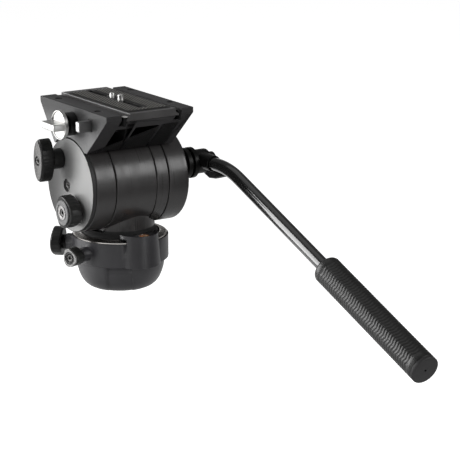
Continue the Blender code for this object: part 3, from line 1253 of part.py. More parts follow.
def make_camera_plate():
    """The sliding plate, with sloping flanges, its slots, and counterbores from below."""
    section = [
        (-PLATE_LEFT, PLATE_TOP), (PLATE_RIGHT, PLATE_TOP), (PLATE_RIGHT, FLANGE_TOP + PLATE_SHOULDER),
        (PLATE_RIGHT + PLATE_FLANGE, FLANGE_TOP), (PLATE_RIGHT + PLATE_FLANGE, PLATE_BOTTOM),
        (-PLATE_LEFT - PLATE_FLANGE, PLATE_BOTTOM), (-PLATE_LEFT - PLATE_FLANGE, FLANGE_TOP),
        (-PLATE_LEFT, FLANGE_TOP + PLATE_SHOULDER)]
    at = Matrix.Translation(on_tilt_axis(0, ((PLATE_FRONT - PLATE_REAR) / 2, 0))) @ end_view()
    plate = outline("camera_plate", section, PLATE_FRONT + PLATE_REAR, at, BLACK_CASTING)
    pierce_plate(plate, "plate")
    head_top = PLATE_BOTTOM + CAMERA_SCREW_HEAD_SINK + CAMERA_SCREW_HEAD
    below = PLATE_BOTTOM - OVERRUN
    cut(plate, cylinder(
        "screw_counterbore", on_tilt_axis(PLATE_MIDDLE, (CAMERA_SCREW_PLACE, below)), Z_AXIS,
        head_top + GAP - below, CAMERA_SCREW_HEAD_RADIUS + GAP))
    cut(plate, cylinder(
        "pin_counterbore", on_tilt_axis(PLATE_MIDDLE, (PIN_PLACE, below)), Z_AXIS,
        PLATE_TOP - PIN_FLANGE_DEPTH + GAP - below, PIN_FLANGE_RADIUS + GAP, sides=SMALL_SIDES))
    half_width = CATCH_RADIUS + RUNNING_GAP
    half_length = PLATE_TRAVEL + half_width
    cut(plate, platform_box(
        "catch_groove", (CATCH_PLACE[0] - half_width, CATCH_PLACE[0] + half_width),
        (CATCH_PLACE[1] - half_length, CATCH_PLACE[1] + half_length), (below, PLATE_BOTTOM + CATCH_GROOVE_DEPTH)))
    return plate


def make_plate_pad():
    pad = platform_box(
        "plate_pad", (-PLATE_LEFT + PAD_MARGIN, PLATE_RIGHT - PAD_MARGIN),
        (-PLATE_REAR + PAD_REAR_MARGIN, PLATE_FRONT - PAD_FRONT_MARGIN), (PAD_FOOT, PAD_FOOT + PAD_HEIGHT))
    pad.data.materials.append(BLACK_RUBBER)
    pierce_plate(pad, "pad")
    return pad


def make_camera_screw():
    """The quarter-inch screw, with a coin slot under its head."""
    foot = PLATE_BOTTOM + CAMERA_SCREW_HEAD_SINK
    head_top = foot + CAMERA_SCREW_HEAD
    top = PLATE_TOP + CAMERA_SCREW_STANDING
    screw = turned(
        "camera_screw",
        [(0, top), (CAMERA_SCREW_RADIUS - EDGE_ROUNDING, top), (CAMERA_SCREW_RADIUS, top - EDGE_ROUNDING),
         (CAMERA_SCREW_RADIUS, head_top), (CAMERA_SCREW_HEAD_RADIUS, head_top), (CAMERA_SCREW_HEAD_RADIUS, foot),
         (0, foot)],
        on_tilt_axis(PLATE_MIDDLE, (CAMERA_SCREW_PLACE, 0)), Z_AXIS, SILVER, SMALL_SIDES)
    outside = CAMERA_SCREW_HEAD_RADIUS + OVERRUN
    cut(screw, platform_box(
        "coin_slot", (PLATE_MIDDLE - outside, PLATE_MIDDLE + outside),
        (CAMERA_SCREW_PLACE - COIN_SLOT_WIDTH / 2, CAMERA_SCREW_PLACE + COIN_SLOT_WIDTH / 2),
        (foot - OVERRUN, foot + COIN_SLOT_DEPTH)))
    return screw


def make_locating_pin():
    """The sprung pin ahead of the screw, held in the plate by its flange."""
    flange_top = PLATE_TOP - PIN_FLANGE_DEPTH
    top = PLATE_TOP + PIN_STANDING
    return turned(
        "locating_pin",
        [(0, top), (PIN_RADIUS - EDGE_ROUNDING, top), (PIN_RADIUS, top - EDGE_ROUNDING), (PIN_RADIUS, flange_top),
         (PIN_FLANGE_RADIUS, flange_top), (PIN_FLANGE_RADIUS, flange_top - PIN_FLANGE),
         (0, flange_top - PIN_FLANGE)],
        on_tilt_axis(PLATE_MIDDLE, (PIN_PLACE, 0)), Z_AXIS, SILVER, SMALL_SIDES)


# Pan handle

HANDLE_ROSETTE_BACK = CAP_END + GAP + 2 * (ROSETTE_BODY + ROSETTE_TOOTH) + ROSETTE_TIP_GAP
CLAMP_START = HANDLE_ROSETTE_BACK + GAP
CLAMP_END = CLAMP_START + CLAMP_LENGTH
TUBE_X = (CLAMP_START + CLAMP_END) / 2
TUBE_DIRECTION = Vector((0, -math.cos(TUBE_DROP), -math.sin(TUBE_DROP)))
TUBE_CORNER = on_tilt_axis(TUBE_X, (-TUBE_BEND_PLACE, TUBE_RISE))


def make_clamp():
    """The casting that joins the rosette and the tube's socket."""
    clamp = cylinder(
        "handle_clamp", on_tilt_axis(CLAMP_START, ROSETTE_PLACE), X_AXIS, CLAMP_LENGTH, CLAMP_RADIUS,
        BLACK_CASTING, sides=MEDIUM_SIDES)
    round_edges(clamp)
    mouth = on_tilt_axis(TUBE_X, (ROSETTE_PLACE[0], TUBE_RISE))
    join(clamp, cylinder("clamp_socket", mouth, -Y_AXIS, SOCKET_REACH, SOCKET_END_RADIUS))
    bore_start = mouth - Y_AXIS * (TUBE_START - GAP)
    cut(clamp, cylinder(
        "clamp_tube_bore", bore_start, -Y_AXIS, SOCKET_REACH - TUBE_START + GAP + OVERRUN, TUBE_RADIUS + GAP))
    cut(clamp, cylinder(
        "clamp_bolt_bore", on_tilt_axis(CLAMP_START - OVERRUN, ROSETTE_PLACE), X_AXIS, CLAMP_LENGTH + 2 * OVERRUN,
        BOLT_RADIUS + GAP, sides=SMALL_SIDES))
    return clamp


def make_handle_bolt():
    start = CAP_END - BOLT_INNER_REACH
    end = CLAMP_END + LEVER_HUB_LENGTH - LEVER_CAP
    return cylinder(
        "handle_bolt", on_tilt_axis(start, ROSETTE_PLACE), X_AXIS, end - start, BOLT_RADIUS, STEEL,
        sides=SMALL_SIDES)


def make_lever():
    """The clamp's lever: a hub on the bolt and a flat curved arm that points back along the tube."""
    foot = CLAMP_END + GAP
    lever = cylinder(
        "handle_lever", on_tilt_axis(foot, ROSETTE_PLACE), X_AXIS, LEVER_HUB_LENGTH, LEVER_HUB_RADIUS, BLACK_PLASTIC)
    points = [
        (ROSETTE_PLACE[0] - back * LEVER_LENGTH, ROSETTE_PLACE[1] + up * LEVER_DROP) for back, up in LEVER_SHARES]
    arm_at = Matrix.Translation(on_tilt_axis(foot + LEVER_THICKNESS / 2)) @ side_view()
    arm = outline("lever_arm", points, LEVER_THICKNESS, arm_at)
    round_edges(arm)
    join(lever, arm)
    cut(lever, cylinder(
        "lever_bore", on_tilt_axis(foot - OVERRUN, ROSETTE_PLACE), X_AXIS, LEVER_HUB_LENGTH - LEVER_CAP + OVERRUN,
        BOLT_RADIUS + GAP, sides=SMALL_SIDES))
    return lever


def make_tube():
    """The bent steel tube, straight out of its socket and then dropping to the grip."""
    tangent = TUBE_BEND_RADIUS * math.tan(TUBE_DROP / 2)
    bend_start = TUBE_CORNER + Y_AXIS * tangent
    points = [on_tilt_axis(TUBE_X, (ROSETTE_PLACE[0] - TUBE_START, TUBE_RISE))]
    for step in range(TUBE_BEND_STEPS + 1):
        angle = TUBE_DROP * step / TUBE_BEND_STEPS
        back = TUBE_BEND_RADIUS * math.sin(angle)
        down = TUBE_BEND_RADIUS * (1 - math.cos(angle))
        points.append(bend_start - Y_AXIS * back - Z_AXIS * down)
    points.append(TUBE_CORNER + TUBE_DIRECTION * (GRIP_START + GRIP_LENGTH))
    tube = wire("handle_tube", points, TUBE_RADIUS, GLOSS_BLACK, sides_share=6, capped=False)
    wall = tube.modifiers.new("wall", "SOLIDIFY")
    wall.thickness = TUBE_WALL
    wall.offset = -1
    wall.use_even_offset = True
    return tube


def make_grip():
    """The rubber grip, with a plain collar at each end, and the cap that plugs the tube."""
    start = TUBE_CORNER + TUBE_DIRECTION * GRIP_START
    bore = TUBE_RADIUS + GAP
    waist = GRIP_RADIUS - GRIP_COLLAR_STEP
    step = GRIP_COLLAR + GRIP_COLLAR_STEP
    grip = turned(
        "grip",
        [(GRIP_RADIUS, GRIP_LENGTH), (GRIP_RADIUS, GRIP_LENGTH - GRIP_COLLAR), (waist, GRIP_LENGTH - step),
         (waist, GRIP_NOSE + step), (GRIP_RADIUS, GRIP_NOSE + GRIP_COLLAR), (GRIP_RADIUS, GRIP_NOSE),
         (GRIP_NOSE_RADIUS, 0), (bore, 0), (bore, GRIP_LENGTH)],
        start, TUBE_DIRECTION, BLACK_RUBBER, MEDIUM_SIDES)
    plug = TUBE_RADIUS - TUBE_WALL - 2 * GAP
    top = GRIP_CAP_THICKNESS
    hole_floor = top - GRIP_CAP_HOLE_DEPTH
    cap = turned(
        "grip_end_cap",
        [(0, hole_floor), (GRIP_CAP_HOLE_RADIUS, hole_floor), (GRIP_CAP_HOLE_RADIUS, top),
         (GRIP_RADIUS - GRIP_CAP_EDGE, top), (GRIP_RADIUS, top - GRIP_CAP_EDGE), (GRIP_RADIUS, 0), (plug, 0),
         (plug, -GRIP_PLUG_LENGTH), (0, -GRIP_PLUG_LENGTH)],
        start + TUBE_DIRECTION * (GRIP_LENGTH + GAP), TUBE_DIRECTION, BLACK_RUBBER, MEDIUM_SIDES)
    return [grip, cap]


# Build every piece, then hang what moves on empties that stand on the joints' axes

base_pieces = [
    make_bowl(), make_thread_insert(), make_collar(), make_level_vial(), make_pan_bush()]
base_pieces += make_pan_brake_shoes()
scale_ring = make_scale_ring()
pan_lock = make_pan_knob(
    "pan_lock", PAN_LOCK_ANGLE, PAN_LOCK_RADIUS, (PAN_LOCK_HUB_RADIUS, PAN_LOCK_HUB), PAN_LOCK_LENGTH,
    PAN_LOCK_BOSS_END)
pan_drag = make_pan_knob(
    "pan_drag", PAN_DRAG_ANGLE, PAN_DRAG_RADIUS, (PAN_DRAG_HUB_RADIUS, PAN_DRAG_HUB), PAN_DRAG_LENGTH,
    PAN_DRAG_BOSS_END, lobed(PAN_DRAG_RADIUS * FACE_SHARE, LOBE_SHARE, LOBES))

pan_pieces = [make_pan_housing(), make_end_ring(), make_tilt_shaft(), make_counterbalance_spring()]
pan_pieces += make_spindle_parts() + make_disc() + [make_tilt_damper()] + make_tilt_brake_pads()
tilt_lock = make_tilt_knob(
    "tilt_lock", TILT_LOCK_PLACE, (TILT_LOCK_HUB_RADIUS, TILT_LOCK_HUB),
    (winged(TILT_LOCK_RADIUS), TILT_LOCK_LENGTH), winged(TILT_LOCK_RADIUS * FACE_SHARE))
tilt_drag = make_tilt_knob(
    "tilt_drag", TILT_DRAG_PLACE, (TILT_DRAG_HUB_RADIUS, TILT_DRAG_HUB),
    (lobed(TILT_DRAG_RADIUS, LOBE_SHARE, LOBES), TILT_DRAG_LENGTH), lobed(TILT_DRAG_FACE_RADIUS, 0.0, LOBES))

tilt_pieces = [make_left_arm(), make_drag_plate(), make_right_cap(), make_platform()] + make_rail_screws()
tilt_pieces += make_tilt_bearings() + [make_fixed_jaw(), make_button_spring()]
tilt_pieces.append(rosette("fixed_rosette", CAP_END + GAP, X_AXIS))
plate_lock = make_plate_lock()
gib = make_gib()
release_button = make_release_button()
safety_catch = make_safety_catch()

plate_pieces = [make_camera_plate(), make_plate_pad()]
camera_screw = make_camera_screw()
locating_pin = make_locating_pin()

handle_pieces = [rosette("handle_rosette", HANDLE_ROSETTE_BACK, -X_AXIS), make_clamp(), make_handle_bolt()]
handle_pieces += [make_tube()] + make_grip()
handle_lever = make_lever()

pan_knob_level = Z_AXIS * PAN_KNOB_HEIGHT
rosette_axis = on_tilt_axis(0, ROSETTE_PLACE)
carry([scale_ring], pivot("scale_ring_turn", Z_AXIS * RING_BOTTOM))
carry(pan_lock, pivot("pan_lock_turn", spoke(PAN_LOCK_ANGLE) * PAN_LOCK_BOSS_END + pan_knob_level))
carry(pan_drag, pivot("pan_drag_turn", spoke(PAN_DRAG_ANGLE) * PAN_DRAG_BOSS_END + pan_knob_level))
pan_turn = pivot("pan_turn", Vector())
carry(pan_pieces, pan_turn)
carry(tilt_lock, pivot("tilt_lock_turn", on_tilt_axis(-DISC_FACE, TILT_LOCK_PLACE), pan_turn))
carry(tilt_drag, pivot("tilt_drag_turn", on_tilt_axis(-DISC_FACE, TILT_DRAG_PLACE), pan_turn))
tilt_turn = pivot("tilt_turn", on_tilt_axis(0), pan_turn)
carry(tilt_pieces + [gib, release_button, safety_catch], tilt_turn)
carry(plate_lock, pivot("plate_lock_turn", on_tilt_axis(-DISC_FACE, LOCK_PLACE), tilt_turn))
plate_slide = pivot("plate_slide", on_tilt_axis(PLATE_MIDDLE, (0, PLATE_BOTTOM)), tilt_turn)
carry(plate_pieces + [camera_screw, locating_pin], plate_slide)
handle_turn = pivot("handle_turn", rosette_axis, tilt_turn)
carry(handle_pieces, handle_turn)
carry([handle_lever], pivot("lever_turn", rosette_axis + X_AXIS * CLAMP_END, handle_turn))

for piece in PARTS.objects:
    if piece.type == "MESH":
        smooth(piece)
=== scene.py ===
"""Fluid video head, dressed for the picture: camera, light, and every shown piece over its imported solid."""

import math

import bpy
from mathutils import Matrix, Vector


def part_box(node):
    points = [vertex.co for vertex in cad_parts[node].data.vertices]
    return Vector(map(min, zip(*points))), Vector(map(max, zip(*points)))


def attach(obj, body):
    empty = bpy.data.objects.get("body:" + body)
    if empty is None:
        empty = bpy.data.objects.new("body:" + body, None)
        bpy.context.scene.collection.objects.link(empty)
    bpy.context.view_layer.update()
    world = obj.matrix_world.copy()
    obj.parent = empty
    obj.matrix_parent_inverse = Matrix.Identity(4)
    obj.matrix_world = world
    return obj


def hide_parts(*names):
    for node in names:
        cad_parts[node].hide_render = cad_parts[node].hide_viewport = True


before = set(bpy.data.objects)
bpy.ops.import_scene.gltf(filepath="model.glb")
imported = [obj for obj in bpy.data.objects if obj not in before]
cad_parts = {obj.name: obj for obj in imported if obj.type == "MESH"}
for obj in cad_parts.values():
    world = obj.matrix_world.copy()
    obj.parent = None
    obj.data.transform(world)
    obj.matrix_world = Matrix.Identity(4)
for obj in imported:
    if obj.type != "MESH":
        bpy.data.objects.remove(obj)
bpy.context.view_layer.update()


# The camera stands behind the head, to its left and a little above it, with a long lens, so that the bowl
# is at the left of the picture and the handle comes forwards to the lower right.

LENS = 154.17
CAMERA_PLACE = (-0.91896, -1.59963, 0.53373)
CAMERA_TURN = (math.radians(75.37), 0, math.radians(-33.173))

bpy.ops.object.select_all(action="DESELECT")
bpy.ops.object.camera_add(location=CAMERA_PLACE, rotation=CAMERA_TURN)
camera = bpy.context.object
camera.data.sensor_width = 36
camera.data.lens = LENS
camera.data.clip_start = 0.05
camera.data.clip_end = 50
bpy.context.scene.camera = camera
bpy.context.scene.view_settings.view_transform = "Standard"


# Every finish is built out of nodes. A Reading is a number that comes out of a node, and reckoning with it
# adds the Math nodes. A Finish is one material with a Principled shader at its end, or else the backdrop.

class Reading:
    def __init__(self, finish, socket):
        self.finish = finish
        self.socket = socket

    def reckon(self, operation, *values):
        return self.finish.node("ShaderNodeMath", {"operation": operation}, dict(enumerate(values)))

    def __add__(self, other):
        return self.reckon("ADD", self, other)

    def __sub__(self, other):
        return self.reckon("SUBTRACT", self, other)

    def __rsub__(self, other):
        return self.reckon("SUBTRACT", other, self)

    def __mul__(self, other):
        return self.reckon("MULTIPLY", self, other)

    __radd__ = __add__
    __rmul__ = __mul__

    def over(self, low, high):
        """0 where it is at or under low, 1 where it is at or over high, and even in between."""
        names = {"Value": self, "From Min": low, "From Max": high}
        return self.finish.node("ShaderNodeMapRange", {"interpolation_type": "SMOOTHSTEP"}, names)


class Finish:
    def __init__(self, name, kind="material"):
        if kind == "world":
            self.material = bpy.data.worlds.new(name)
        else:
            self.material = bpy.data.materials.new(name)
        self.material.use_nodes = True
        self.tree = self.material.node_tree
        self.shader = self.tree.nodes.get("Principled BSDF")

    def node(self, kind, settings, sockets, output=0):
        made = self.tree.nodes.new(kind)
        for name, value in settings.items():
            setattr(made, name, value)
        for name, value in sockets.items():
            self.feed(made.inputs[name], value)
        return Reading(self, made.outputs[output])

    def feed(self, socket, value):
        if isinstance(value, Reading):
            self.tree.links.new(value.socket, socket)
        else:
            socket.default_value = value

    def set(self, **values):
        for name, value in values.items():
            self.feed(self.shader.inputs[name.replace("_", " ")], value)

    def fed(self, name):
        """What an input of the shader is fed with so far."""
        return Reading(self, self.shader.inputs[name].links[0].from_socket)

    def place(self, turn=(0, 0, 0), scale=(1, 1, 1)):
        """Where on the piece a point lies, in metres, turned and stretched."""
        spot = self.node("ShaderNodeTexCoord", {}, {}, "Object")
        if (turn, scale) == ((0, 0, 0), (1, 1, 1)):
            return spot
        return self.node("ShaderNodeMapping", {}, {"Vector": spot, "Rotation": turn, "Scale": scale})

    def parts(self, vector):
        """How far a place or a way reaches along X, along Y and along Z."""
        along_x = self.node("ShaderNodeSeparateXYZ", {}, {"Vector": vector})
        return [Reading(self, part) for part in along_x.socket.node.outputs]

    def cloud(self, vector, scale, detail):
        """Soft random variation, about 0.5 in the middle, with patches about 1 / scale metres across."""
        sockets = {"Vector": vector, "Scale": scale, "Detail": detail}
        return self.node("ShaderNodeTexNoise", {}, sockets, "Fac")

    def blend(self, share, first, second):
        """A colour between two colours."""
        return self.node(
            "ShaderNodeMix", {"data_type": "RGBA"}, {0: share, 6: self.tint(first), 7: self.tint(second)}, 2)

    def tint(self, colour):
        return colour if isinstance(colour, Reading) else (*colour, 1)

    def bump(self, height, depth):
        """The surface's direction once the height, from 0 to 1, has moved it by up to a depth in metres."""
        sockets = {"Height": height, "Distance": depth, "Strength": 1.0}
        return self.node("ShaderNodeBump", {}, sockets, "Normal")


def grey(level):
    return (level, level, level)


# The studio: a pale floor and backdrop, white where the camera sees them. The head stands high above the
# floor, as on a tripod. A tall soft lamp close by on the left makes the band along the tube and the grip, one
# on the camera's side to the right makes the highlight on the barrel, and three weaker ones fill in.

FLOOR_HEIGHT = -0.32
FLOOR_SIZE = 24.0
FLOOR_LIFT = 0.66
MIRRORED_LIFT = 0.30
DARK_SIDE = 0.10
LOW_LIGHT = 0.85
ROOM_LIGHT = 0.34
HEADING_COS, HEADING_SIN = 0.837, 0.547
HEAD_MIDDLE = Vector((0, 0, 0.09))
LAMPS = (
    ("lamp_side", (-0.83, 0.68, 0.44), 0.54, 1.20, 17.0),
    ("lamp_right", (1.30, -1.78, 1.12), 0.85, 1.0, 17.0),
    ("lamp_left", (-2.10, -0.30, 0.70), 0.8, 1.6, 9.0),
    ("lamp_low", (0.35, -2.30, 0.22), 0.9, 0.5, 7.0),
    ("lamp_above", (0.1, 0.5, 2.2), 1.8, 1.8, 4.4),
)


def seen_by(finish):
    """What a ray is for: 1 for the camera's, and 1 for one that is mirrored or goes through glass."""
    camera_ray = finish.node("ShaderNodeLightPath", {}, {}, "Is Camera Ray")
    kind = camera_ray.socket.node.outputs
    return camera_ray, Reading(finish, kind["Is Glossy Ray"]) + Reading(finish, kind["Is Transmission Ray"])


def rightwards(x, y):
    """How far a place or a way lies to the camera's right."""
    return x * HEADING_COS - y * HEADING_SIN


def behind(x, y, near, far):
    """0 on the camera's side, and 1 behind the head."""
    return (x * HEADING_SIN + y * HEADING_COS).over(near, far)


bpy.ops.mesh.primitive_plane_add(size=FLOOR_SIZE, location=(0, 0, FLOOR_HEIGHT))
floor = bpy.context.object
floor.name = "floor"
floor_paint = Finish("floor_paint")
floor_seen, floor_mirrored = seen_by(floor_paint)
floor_x, floor_y, _ = floor_paint.parts(floor_paint.place())
# For all rays but the camera's, the floor carries painted shade: a painted shadow under the head, and, as
# mirrored in what shines, a painted dark reflection to the camera's right.
floor_right = rightwards(floor_x, floor_y).over(0.30, 1.00)
floor_painted_dark_reflection = floor_mirrored * floor_right * (1 - behind(floor_x, floor_y, -0.5, 1.5))
painted_shadow_under_head = 1 - (floor_x * floor_x + floor_y * floor_y).over(0.02, 0.30)
floor_shade = floor_paint.blend(floor_painted_dark_reflection, grey(0.56), grey(0.14))
floor_shade = floor_paint.blend(painted_shadow_under_head * 0.7, floor_shade, grey(0.06))
floor_paint.set(
    Base_Color=floor_paint.blend(floor_seen, floor_shade, grey(0.93)), Roughness=0.9,
    Emission_Color=floor_paint.blend(
        floor_seen.reckon("MAXIMUM", floor_seen * FLOOR_LIFT, (floor_mirrored - floor_painted_dark_reflection) * MIRRORED_LIFT),
        (0, 0, 0), (1, 1, 1)),
    Emission_Strength=1.0, Specular_IOR_Level=0.0)
floor.data.materials.append(floor_paint.material)

backdrop = Finish("backdrop", "world")
bpy.context.scene.world = backdrop.material
seen, mirrored = seen_by(backdrop)
way_x, way_y, way_up = backdrop.parts(backdrop.node("ShaderNodeTexCoord", {}, {}, "Generated"))
to_the_right = rightwards(way_x, way_y).over(-0.10, 0.25)
low_behind = behind(way_x, way_y, -0.2, 0.6) * (1 - way_up.over(0.12, 0.40)) * (1 - to_the_right)
# What shines sees a dark room that is pale low behind the head.
mirrored_light = mirrored * (DARK_SIDE + low_behind * (LOW_LIGHT - DARK_SIDE))
backdrop_strength = seen.reckon("MAXIMUM", seen, mirrored_light)
backdrop_strength = seen.reckon("MAXIMUM", backdrop_strength, (1 - mirrored) * ROOM_LIGHT)
backdrop_light = backdrop.tree.nodes["Background"]
backdrop_light.inputs["Color"].default_value = (1, 1, 1, 1)
backdrop.feed(backdrop_light.inputs["Strength"], backdrop_strength)

for lamp_name, lamp_place, lamp_width, lamp_height, lamp_power in LAMPS:
    facing_head = (HEAD_MIDDLE - Vector(lamp_place)).to_track_quat("-Z", "Y").to_euler()
    bpy.ops.object.light_add(type="AREA", location=lamp_place, rotation=facing_head)
    lamp = bpy.context.object
    lamp.name = lamp_name
    lamp.data.shape = "RECTANGLE"
    lamp.data.size = lamp_width
    lamp.data.size_y = lamp_height
    lamp.data.energy = lamp_power
    lamp.visible_camera = False


# The bowl that stands on the tripod: die-cast aluminium, blasted and painted satin black, with three
# shallow flats down its sides. The brass bush in its centre takes the tripod's screw.

def smoothed(name, node, rounding=0.0004, corner=34):
    """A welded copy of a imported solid: flat faces joined, corners rounded, round sides shaded smooth."""
    bpy.ops.object.select_all(action="DESELECT")
    piece = bpy.data.objects.new(name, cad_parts[node].data.copy())
    bpy.context.scene.collection.objects.link(piece)
    piece.select_set(True)
    bpy.context.view_layer.objects.active = piece
    bpy.ops.object.mode_set(mode="EDIT")
    bpy.ops.mesh.select_all(action="SELECT")
    bpy.ops.mesh.remove_doubles(threshold=0.00001)
    bpy.ops.mesh.dissolve_limited(angle_limit=math.radians(0.6))
    bpy.ops.object.mode_set(mode="OBJECT")
    piece.data.materials.clear()
    return rounded(piece, rounding, corner)


def rounded(piece, rounding, corner=34):
    """Round the corners of a piece, and shade what is round as round."""
    bpy.ops.object.select_all(action="DESELECT")
    piece.select_set(True)
    bpy.context.view_layer.objects.active = piece
    bpy.ops.object.shade_smooth_by_angle(angle=math.radians(corner))
    if rounding:
        edge = piece.modifiers.new("rounding", "BEVEL")
        edge.width = rounding
        edge.segments = 2
        edge.limit_method = "ANGLE"
        edge.angle_limit = math.radians(corner)
        edge.use_clamp_overlap = False
        edge.harden_normals = True
        bpy.ops.object.modifier_apply(modifier="rounding")
    return piece


def dress(piece, finish, body, slot, *nodes):
    """Give a piece its finish, hang it on the body it moves with, and hide the solids that it stands for."""
    piece.data.materials.append(finish.material)
    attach(piece, body)
    if nodes:
        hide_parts(*nodes)
    return piece


def blasted_black(name, shade, gloss, shine=0.28):
    """Black paint or anodising on a blasted casting: fine grain, and slow changes of shade and gloss."""
    finish = Finish(name)
    spot = finish.place()
    grain = finish.cloud(spot, 1500, 3)
    patches = finish.cloud(spot, 26, 3)
    smears = finish.cloud(finish.place(scale=(1, 0.3, 1)), 90, 4)
    darker = tuple(value * 0.72 for value in shade)
    finish.set(
        Base_Color=finish.blend(patches.over(0.3, 0.7), darker, shade),
        Roughness=gloss + (patches - 0.5) * 0.14 + (smears - 0.5) * 0.10,
        Normal=finish.bump(grain, 0.00003), Specular_IOR_Level=shine)
    return finish


base_black = blasted_black("base_black", (0.029, 0.028, 0.032), 0.38, 0.60)
bush_brass = Finish("bush_brass")
turning = bush_brass.cloud(bush_brass.place(scale=(1, 1, 60)), 60, 2)
bush_brass.set(
    Base_Color=bush_brass.blend(turning, (0.52, 0.36, 0.16), (0.74, 0.56, 0.30)), Metallic=1.0,
    Roughness=0.28 + turning * 0.15, Normal=bush_brass.bump(turning, 0.00002))

dress(smoothed("bowl", "base_bowl", 0, 50), base_black, "base", "black_casting", "base_bowl")
dress(smoothed("tripod_bush", "thread_insert", 0.0003), bush_brass, "base", "brass", "thread_insert")


# The collar on the bowl, in the same casting black, with the bosses for its two knobs and the housing of
# the level. The level is a glass lens over amber liquid and a bubble, pressed in with a thin steel rim.

dress(smoothed("collar", "base_collar", 0.0004), base_black, "base", "black_casting", "base_collar")


def turned(name, start, axis, rings, sides=96, closed=True):
    """A piece turned on a lathe: a circle drawn out ring by ring, each (radius, distance along the axis)."""
    bpy.ops.object.select_all(action="DESELECT")
    radius, along = rings[0]
    bpy.ops.mesh.primitive_circle_add(
        vertices=sides, radius=radius, location=(0, 0, 0), fill_type="NGON" if closed else "NOTHING")
    piece = bpy.context.object
    piece.name = name
    bpy.ops.object.mode_set(mode="EDIT")
    bpy.ops.mesh.select_all(action="SELECT")
    bpy.ops.transform.translate(value=(0, 0, along))
    for next_radius, next_along in rings[1:]:
        draw = {"value": (0, 0, next_along - along)}
        if closed:
            bpy.ops.mesh.extrude_region_move(TRANSFORM_OT_translate=draw)
        else:
            bpy.ops.mesh.extrude_edges_move(TRANSFORM_OT_translate=draw)
        share = next_radius / radius
        bpy.ops.transform.resize(value=(share, share, 1), center_override=(0, 0, next_along))
        radius, along = next_radius, next_along
    bpy.ops.mesh.select_all(action="SELECT")
    bpy.ops.mesh.remove_doubles(threshold=0.000002)
    bpy.ops.mesh.normals_make_consistent(inside=False)
    bpy.ops.object.mode_set(mode="OBJECT")
    return set_down(piece, start, axis)


def set_down(piece, start, axis):
    """Turn a piece drawn along +Z so that it runs along an axis from a start, and keep that in its mesh."""
    turn = Vector(axis).to_track_quat("Z", "Y").to_matrix().to_4x4()
    piece.matrix_world = Matrix.Translation(start) @ turn
    bpy.ops.object.select_all(action="DESELECT")
    piece.select_set(True)
    bpy.context.view_layer.objects.active = piece
    bpy.ops.object.transform_apply(location=True, rotation=True, scale=True)
    return piece


VIAL_LOW, VIAL_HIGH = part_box("level_vial")
VIAL_MIDDLE = (VIAL_LOW + VIAL_HIGH) / 2
VIAL_RADIUS = (VIAL_HIGH.x - VIAL_LOW.x) / 2
VIAL_FOOT = (VIAL_MIDDLE.x, VIAL_MIDDLE.y, VIAL_LOW.z)
BUBBLE_MIDDLE = (VIAL_MIDDLE.x + 0.0011, VIAL_MIDDLE.y - 0.0008, VIAL_HIGH.z)
BUBBLE_RADIUS = 0.0015

vial_amber = Finish("vial_amber")
swirl = vial_amber.cloud(vial_amber.place(), 240, 2)
from_bubble = vial_amber.node(
    "ShaderNodeVectorMath", {"operation": "DISTANCE"},
    {0: vial_amber.place(), 1: BUBBLE_MIDDLE}, 1)
bubble = 1 - from_bubble.over(BUBBLE_RADIUS, 0.0019)
liquid = vial_amber.blend(swirl, (0.62, 0.16, 0.015), (0.85, 0.30, 0.04))
vial_amber.set(
    Base_Color=vial_amber.blend(bubble, liquid, (0.95, 0.62, 0.30)),
    Roughness=0.08 + swirl * 0.05, Coat_Weight=1.0)
vial_lens = turned(
    "level_lens", VIAL_FOOT, (0, 0, 1),
    [(VIAL_RADIUS * 0.88, 0), (VIAL_RADIUS * 0.88, 0.0010), (VIAL_RADIUS * 0.80, 0.00128),
     (VIAL_RADIUS * 0.62, 0.0015), (VIAL_RADIUS * 0.35, 0.00166), (VIAL_RADIUS * 0.08, 0.0017)], 48)
dress(rounded(vial_lens, 0), vial_amber, "base", "amber", "level_vial")

rim_steel = Finish("rim_steel")
rim_lines = rim_steel.cloud(rim_steel.place(scale=(1, 1, 40)), 200, 2)
rim_steel.set(
    Base_Color=rim_steel.blend(rim_lines, grey(0.40), (0.62, 0.61, 0.60)), Metallic=1.0,
    Roughness=0.22 + rim_lines * 0.14, Normal=rim_steel.bump(rim_lines, 0.00001))
vial_rim = turned(
    "level_rim", VIAL_FOOT, (0, 0, 1),
    [(VIAL_RADIUS * 0.90, 0.0002), (VIAL_RADIUS, 0.0002), (VIAL_RADIUS, 0.0016), (VIAL_RADIUS * 0.97, 0.0018),
     (VIAL_RADIUS * 0.90, 0.0018), (VIAL_RADIUS * 0.90, 0.0002)], 48, closed=False)
dress(rounded(vial_rim, 0), rim_steel, "base", "steel")


# The scale ring lies on the collar: turned aluminium, bright, with a slanting hatch rolled into its cone
# and a polished chamfer at each edge of it.

RING_LOW, RING_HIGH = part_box("pan_scale_ring")
RING_RADIUS = RING_HIGH.x
RING_TOP = RING_HIGH.z
RING_FOOT = RING_TOP - 0.0030
RING_INNER = 0.0383
RING_SPIGOT = 0.0412
HATCH_COUNT = 96
HATCH_ROWS = 8
HATCH_SLANT = 1.6
HATCH_DEPTH = 0.00048


def reshape(piece, rule):
    """Move every point of a piece to where a rule puts it."""
    for point in piece.data.vertices:
        point.co = rule(point.co)
    piece.data.update()
    return piece


